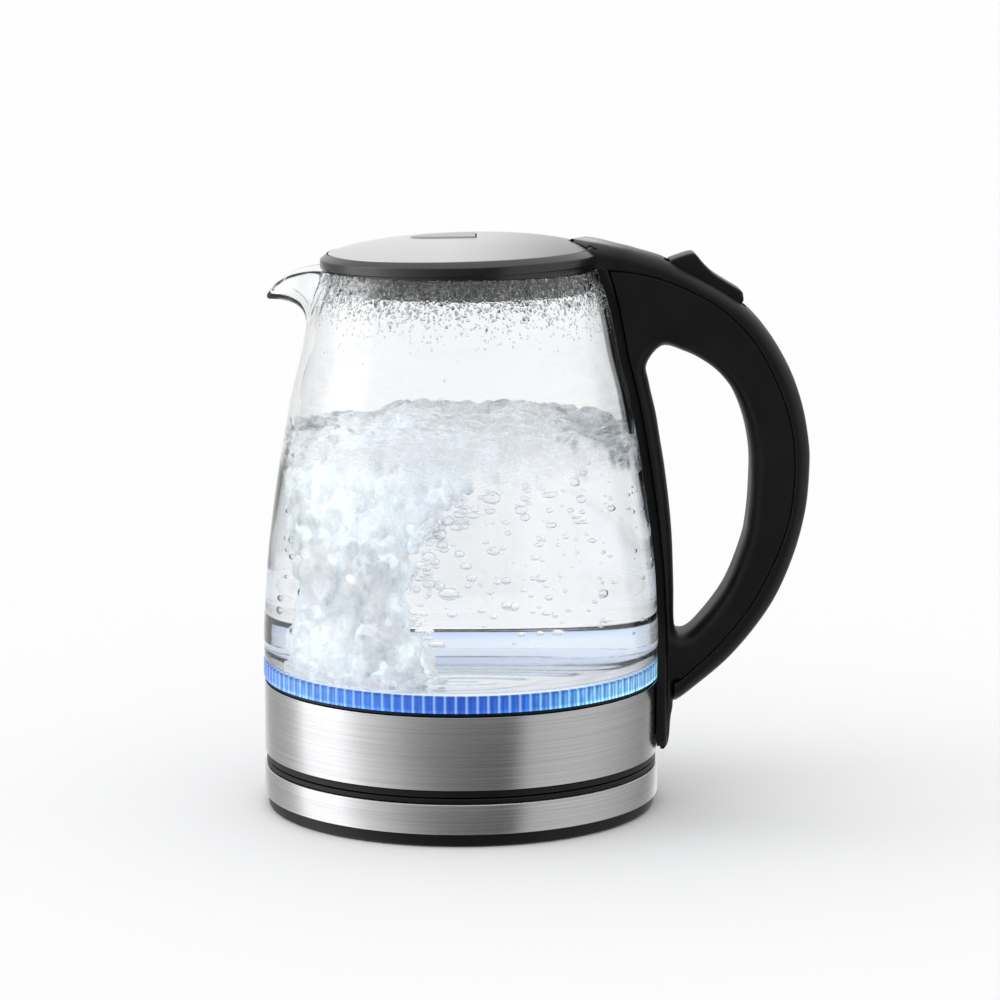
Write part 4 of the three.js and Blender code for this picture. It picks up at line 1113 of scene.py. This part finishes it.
def lid_shell():
    profile = [
        (0, 219.5), (46.5, 219.5), (46.5, 213.5), (48.3, 213.5), (48.3, 219.5), (51.6, 219.5), (51.6, 222.9),
        (49.8, 222.9), (49.8, 221), (0, 221),
    ]
    piece = revolve("lid_body", rounded(profile), 160)
    combine(piece, block(-55, -48, -4.4, 4.4, 221, 224))
    combine(piece, nose_hole(217.9))
    combine(piece, rod_y(NOSE_SWING_R + 0.4, HINGE_X, HINGE_Z, -NOSE_HALF - 0.6, NOSE_HALF + 0.6, 64))
    arm = [(42.5, 219.6), (46.4, 219.6), (49.2, 222.4), (52, 224.8), (51, 226.6), (49.8, 225.8),
           (48.6, 223.8), (42.5, 221.4)]
    for low, high in both_sides(*HINGE_ARM_Y):
        barrel = combine(slab("arm", arm, low, high), rod_y(1.75, HINGE_X, HINGE_Z, low, high), "UNION")
        combine(barrel, rod_y(HINGE_PIN_R + 0.1, HINGE_X, HINGE_Z, low - 1, high + 1))
        join(piece, barrel)
    for low, high in both_sides(7, 9):
        post = block(TAB_PIVOT_X - 2.2, TAB_PIVOT_X + 2.2, low, high, 220.5, TAB_PIVOT_Z + 1.5)
        join(piece, combine(post, rod_y(1.3, TAB_PIVOT_X, TAB_PIVOT_Z, low - 1, high + 1)))
    finish_piece(piece, "lid", "black_plastic", "lid_shell")


def lid_tab():
    """Cap with a rolled edge, on the web and pivot that carry it."""
    plan = np.array(tab_plan(0))
    middle = np.array([(TAB_LOW.x + TAB_HIGH.x) / 2, 0.0])
    bottom = 228.4
    rows = []
    roll = [(0.0, bottom), (0.0, TAB_TOP - 0.75), (0.12, TAB_TOP - 0.4), (0.4, TAB_TOP - 0.15),
            (0.9, TAB_TOP - 0.03), (2.0, TAB_TOP), (4.0, TAB_TOP + 0.02)]
    outline = even(np.vstack([plan, plan[:1]]), 0.8)[:-1]
    normal = loop_normals(outline)
    outward = np.sign(((outline - middle) * normal).sum(1))[:, None]
    for inset, z in roll:
        ring = outline - normal * outward * min(inset, 1.0)
        ring = middle + (ring - middle) * (1 - max(0, inset - 1) / 9)
        ground = dome_height(np.hypot(ring[:, 0], ring[:, 1])) - dome_height(8) + LID_SLOPE * ring[:, 0]
        rows.append(np.column_stack([ring, z + ground * min(1, (z - bottom) / 2)]))
    cap = skin("tab_cap", rows, "capped")
    half = 6.6
    web = block(TAB_PIVOT_X - 1.8, TAB_PIVOT_X + 1.8, -half, half, TAB_PIVOT_Z, bottom + 0.4)
    leg = block(-15.2, -13, -1.7, 1.7, 223.1, bottom + 0.4)
    barrel = rod_y(2, TAB_PIVOT_X, TAB_PIVOT_Z, -half, half)
    join(cap, web, leg, barrel, rod_y(1, TAB_PIVOT_X, TAB_PIVOT_Z, -9, 9))
    finish_piece(cap, "lid_tab", "tab_plastic", "lid_tab", sharp=30)


lid_disc()
lid_shell()
lid_tab()
turned("lid_under_cover", "lid", "black_plastic", "lid_inner_cover", [
    (0, 213.7), (46.1, 213.7), (46.1, 215.5), (0, 215.5),
])
turned("lid_gasket", "lid", "silicone", "lid_seal", [(48.4, 215), (50, 216.4), (48.4, 217.8)])

# ---- what the jug holds

random.seed(7)
noise_source = np.random.default_rng(7)


def inner_radius(z):
    """Inner radius of the glass at a height."""
    foot = np.interp(z, [50, 59, 61.6, 63, 64.6, 66.8, 70], [72.4, 72.4, 74.3, 75.6, 76.5, 76.9, 77])
    return np.where(np.asarray(z) < 70, foot, glass_radius(z) - GLASS_WALL)


def fits(x, y, z, room):
    """Whether a place in the water is this far from the glass."""
    return math.hypot(x, y) <= float(inner_radius(max(z, 71))) - room


def waves():
    """Wave trains for the water's surface: direction, frequency, phase and height."""
    trains = []
    for length, height, count in ((75, 1.7, 3), (38, 1.1, 4), (19, 0.6, 6), (9, 0.3, 9), (4.5, 0.13, 12)):
        for _ in range(count):
            heading = noise_source.uniform(0, TURN)
            size = TURN / (length * noise_source.uniform(0.8, 1.25))
            trains.append((size * math.cos(heading), size * math.sin(heading),
                           noise_source.uniform(0, TURN), height * noise_source.uniform(0.5, 1)))
    return trains


WAVES = waves()


def water_height(x, y):
    """Height of the boiling surface: wave trains, and a swell where the froth comes up."""
    z = WATER_Z + 3.0 * np.exp(-(((x + 18) / 30) ** 2 + ((y + 5) / 34) ** 2))
    for kx, ky, phase, height in WAVES:
        z = z + height * np.sin(kx * x + ky * y + phase + 0.8 * np.sin(ky * x - kx * y))
    return z


def water_body():
    """Water from the plate to its wavy surface. It reaches a hair into the glass, so no air shows between."""
    steps = 240
    angles = np.linspace(0, TURN, steps, endpoint=False)
    floor_z = PLATE_TOP - 0.75
    rows = [(0.0, floor_z), (60.0, floor_z), (72.1, floor_z), (72.1, 53.0)]
    wall = [53.6, 58.9, 60.5, 61.6, 63, 64.6, 66.8, 69.9, *np.arange(74, 142, 4.0)]
    rows += [(float(inner_radius(z)) + WATER_LAP, z) for z in wall]
    loops = [np.column_stack([r * np.cos(angles), r * np.sin(angles), np.full(steps, z)]) for r, z in rows]
    edge = np.full(steps, float(inner_radius(WATER_Z)))
    for _ in range(3):
        edge = inner_radius(water_height(edge * np.cos(angles), edge * np.sin(angles)))
    for share in (1, 0.995, *np.linspace(0.985, 0.02, 110), 0):
        r = (edge + WATER_LAP) * share
        x, y = r * np.cos(angles), r * np.sin(angles)
        loops.append(np.column_stack([x, y, water_height(x, y)]))
    finish_piece(skin("contents_water", loops), "jug", "jug_glass", material=water(), sharp=180)


def ball_mesh(detail):
    """Points and triangles of a unit ball."""
    work = bmesh.new()
    bmesh.ops.create_icosphere(work, subdivisions=detail, radius=1)
    verts = np.array([v.co[:] for v in work.verts])
    faces = np.array([[v.index for v in f.verts] for f in work.faces])
    work.free()
    return verts, faces


def scatter(name, centres, sizes, detail, turn=None):
    """One mesh of many balls. sizes are radii along each axis; turn gives each ball its own axes."""
    verts, faces = ball_mesh(detail)
    all_verts = []
    for i, (centre, size) in enumerate(zip(centres, sizes)):
        shape = verts * size
        if turn is not None:
            shape = shape @ turn[i]
        all_verts.append(shape + centre)
    count = len(verts)
    all_faces = np.vstack([faces + i * count for i in range(len(centres))])
    mesh = bpy.data.meshes.new(name)
    mesh.from_pydata((np.vstack(all_verts) * MM).tolist(), [], all_faces.tolist())
    return add_object(name, mesh)


def plume_place(t):
    """Middle and half widths of the boiling plume, from the plate (t = 0) to the surface (t = 1)."""
    steps = [0, 0.12, 0.35, 0.6, 0.78, 0.9, 1]
    x = np.interp(t, steps, [-34, -36, -38, -38, -31, -16, -4])
    wide = np.interp(t, steps, [29, 25, 18, 25, 31, 45, 60])
    y = np.interp(t, [0, 0.5, 1], [-20, -24, -12])
    deep = np.interp(t, [0, 0.3, 0.7, 1], [24, 17, 21, 40])
    return x, y, wide, deep


def plume():
    """Froth that boils up from the left of the plate and spreads under the surface."""
    centres, sizes = [], []
    for _ in range(FROTH_BALLS):
        t = random.random() ** 0.85
        x, y, wide, deep = plume_place(t)
        angle = random.uniform(0, TURN)
        share = math.sqrt(random.random())
        px = x + wide * share * math.cos(angle)
        py = y + deep * share * math.sin(angle)
        pz = PLATE_TOP + 3 + t * (WATER_Z - PLATE_TOP - 6)
        radius = random.uniform(1.4, 4.6) * (1.15 - 0.4 * share)
        if fits(px, py, pz, radius + 1.5):
            centres.append((px, py, pz))
            sizes.append((radius, radius, radius * random.uniform(0.8, 1.3)))
    piece = scatter("contents_froth", centres, np.array(sizes), 2)
    change = piece.modifiers.new("one skin", "REMESH")
    change.mode = "VOXEL"
    change.voxel_size = 0.0009
    smooth = piece.modifiers.new("soften", "SMOOTH")
    smooth.factor = 0.5
    smooth.iterations = 3
    for size, strength in ((0.011, 0.0028), (0.0042, 0.0015), (0.0018, 0.0006)):
        cloud = bpy.data.textures.new("froth_cloud", "CLOUDS")
        cloud.noise_scale = size
        cloud.noise_depth = 2
        lumps = piece.modifiers.new("lumps", "DISPLACE")
        lumps.texture = cloud
        lumps.texture_coords = "GLOBAL"
        lumps.strength = strength
    apply_modifiers(piece)
    finish_piece(piece, "jug", "jug_glass", material=froth(), sharp=180)


def bubbles():
    """Single bubbles round the plume and out to the right, small ones most."""
    centres, sizes = [], []
    while len(centres) < BUBBLES:
        if random.random() < 0.76:
            px, py, pz = random.uniform(-12, 64), random.uniform(-50, 20), random.uniform(72, 150)
            if random.random() > (pz - 60) / 95 + 0.15:
                continue
            radius = random.choice((0.35, 0.5, 0.6, 0.8, 1.0, 1.3, 1.9))
        else:
            t = random.random() ** 0.55
            x, y, wide, deep = plume_place(t)
            px = x + random.choice((-1, 1, 1, 1)) * wide * random.uniform(0.95, 1.45)
            py = y + random.uniform(-1, 1) * deep
            pz = PLATE_TOP + 4 + t * 96
            radius = random.choice((0.4, 0.6, 0.9, 1.2, 1.8, 2.6))
        if fits(px, py, pz, radius + 2):
            centres.append((px, py, pz))
            flat = random.uniform(0.6, 0.95)
            sizes.append((radius * random.uniform(0.9, 1.3), radius, radius * flat))
    for x, y, z, radius in ((-4, -30, 92, 3.2), (-11, -38, 117, 3.4), (-9, -34, 98, 1.7), (-3, -30, 84, 1.5)):
        centres.append((x, y, z))
        sizes.append((radius * 1.15, radius, radius * 0.8))
    piece = scatter("contents_bubbles", centres, np.array(sizes), 3)
    finish_piece(piece, "jug", "jug_glass", material=clear("air_bubbles", AIR_IOR, 400.0), sharp=180)


def condensation():
    """Drops on the inside of the glass, thick under the lid and thinning downwards."""
    centres, sizes, turns = [], [], []
    spout = math.radians(SPOUT_HALF_DEGREES + 3)
    while len(centres) < DROPS:
        z = DROPS_TOP - min(abs(random.gauss(0, 1)) * 9.5, 52)
        angle = random.uniform(-math.pi, math.pi)
        if abs(abs(angle) - math.pi) < spout and z > SPOUT_START_Z - 2:
            continue
        near = max(0.0, 1 - (DROPS_TOP - z) / 22)
        radius = random.uniform(0.2, 0.42) + 0.6 * random.random() ** 2 * near
        r = float(inner_radius(z)) + 0.04
        slope = float(glass_radius(z + 1) - glass_radius(z - 1)) / 2
        inward = Vector((-math.cos(angle), -math.sin(angle), slope)).normalized()
        side = Vector((-math.sin(angle), math.cos(angle), 0))
        up = inward.cross(side)
        centres.append(polar(r, angle, z))
        sizes.append((radius, radius * random.uniform(0.9, 1.5), radius * 0.42))
        turns.append(np.array([side, up, inward]))
    piece = scatter("contents_drops", centres, np.array(sizes), 2, turns)
    finish_piece(piece, "jug", "jug_glass", material=clear("droplets", WATER_IOR, 700.0), sharp=180)


water_body()
plume()
bubbles()
condensation()

# ---- floor, light and camera


def floor():
    size = 300.0
    mesh = bpy.data.meshes.new("floor")
    corners = [(-size, -size, 0), (size, -size, 0), (size, size, 0), (-size, size, 0)]
    mesh.from_pydata(corners, [], [(0, 1, 2, 3)])
    piece = add_object("floor", mesh)
    look = Look("floor_white", (0.8, 0.8, 0.8), Roughness=0.9, Specular_IOR_Level=0.0)
    cloud = look.noise(3.0, 2.0)
    look.link(look.mix(cloud, (0.798, 0.798, 0.8), (0.806, 0.806, 0.806)), "Base Color")
    mesh.materials.append(look.material)
    piece.visible_glossy = False


# Radiance round the horizon by degrees from the camera's side, positive towards the handle.
HORIZON = [
    (-180, 1.2), (-164, 0.9), (-150, 0.5), (-134, 0.5), (-118, 0.62), (-108, 1.0), (-104, 1.6), (-74, 1.6),
    (-70, 1.35), (-58, 0.9), (-43, 0.66), (-28, 0.4), (-14, 0.27), (0, 0.2), (26, 0.13), (31, 0.17),
    (40, 0.6), (62, 0.67), (84, 0.65), (106, 0.52), (134, 0.34), (150, 0.55), (160, 1.0), (180, 1.2),
]
# The same above eye level, as the glass and the lid see it.
UPPER = [
    (-180, 1.1), (-134, 0.85), (-112, 1.0), (-104, 2.3), (-74, 2.3), (-69, 0.95), (-45, 0.62), (0, 0.5),
    (40, 0.6), (90, 0.9), (140, 1.05), (180, 1.1),
]
BRIGHTEST = 2.5            # a ramp holds values up to 1, so they are scaled by this
CEILING = 1.12
SHADE = 0.66              # what matt surfaces receive from all sides, besides the two lamps
BACKDROP = 0.98           # what the camera sees


def studio():
    world = bpy.data.worlds.new("studio")
    scene.world = world
    world.use_nodes = True
    graph = Graph(world.node_tree)
    background = world.node_tree.nodes["Background"]
    x, y, z = graph.axes(graph.add("TexCoord").outputs["Generated"])
    place = graph.spread(graph.bearing(x, y), -math.pi, math.pi)

    def ring(values):
        stops = [((degrees + 180) / 360, value / BRIGHTEST) for degrees, value in values]
        return graph.scaled(graph.ramp(place, stops), BRIGHTEST)

    low, middle = ring(HORIZON), ring(UPPER)
    above = graph.spread(z, math.sin(math.radians(5)), math.sin(math.radians(18)))
    high = graph.spread(z, math.sin(math.radians(36)), math.sin(math.radians(60)))
    sky = graph.mix(high, graph.mix(above, low, middle), (CEILING, CEILING, CEILING * 1.01))
    path = graph.add("LightPath")
    sky = graph.mix(path.outputs["Is Diffuse Ray"], sky, (SHADE, SHADE, SHADE))
    sky = graph.mix(path.outputs["Is Camera Ray"], sky, (BACKDROP, BACKDROP, BACKDROP))
    world.node_tree.links.new(sky, background.inputs["Color"])


def sun(name, direction, energy, degrees):
    """A soft lamp from a direction, kept out of the reflections."""
    lamp = bpy.data.lights.new(name, "SUN")
    lamp.energy = energy
    lamp.angle = math.radians(degrees)
    piece = add_object(name, lamp)
    piece.rotation_euler = Vector(direction).to_track_quat("Z", "Y").to_euler()
    piece.visible_glossy = False
    piece.visible_transmission = False


def camera():
    lens = bpy.data.cameras.new("camera")
    lens.lens = 127.85
    lens.sensor_width = 36
    lens.clip_end = 1000
    piece = add_object("camera", lens)
    piece.location = (0, -1.4158, 0.3538)
    piece.rotation_euler = (math.radians(80.77), 0, math.radians(-0.64))
    scene.camera = piece


floor()
studio()
sun("key", (-1.0, -0.05, 0.85), 0.34, 40)
sun("overhead", (-0.15, -0.08, 1.0), 1.57, 100)
camera()
scene.view_settings.view_transform = "Standard"
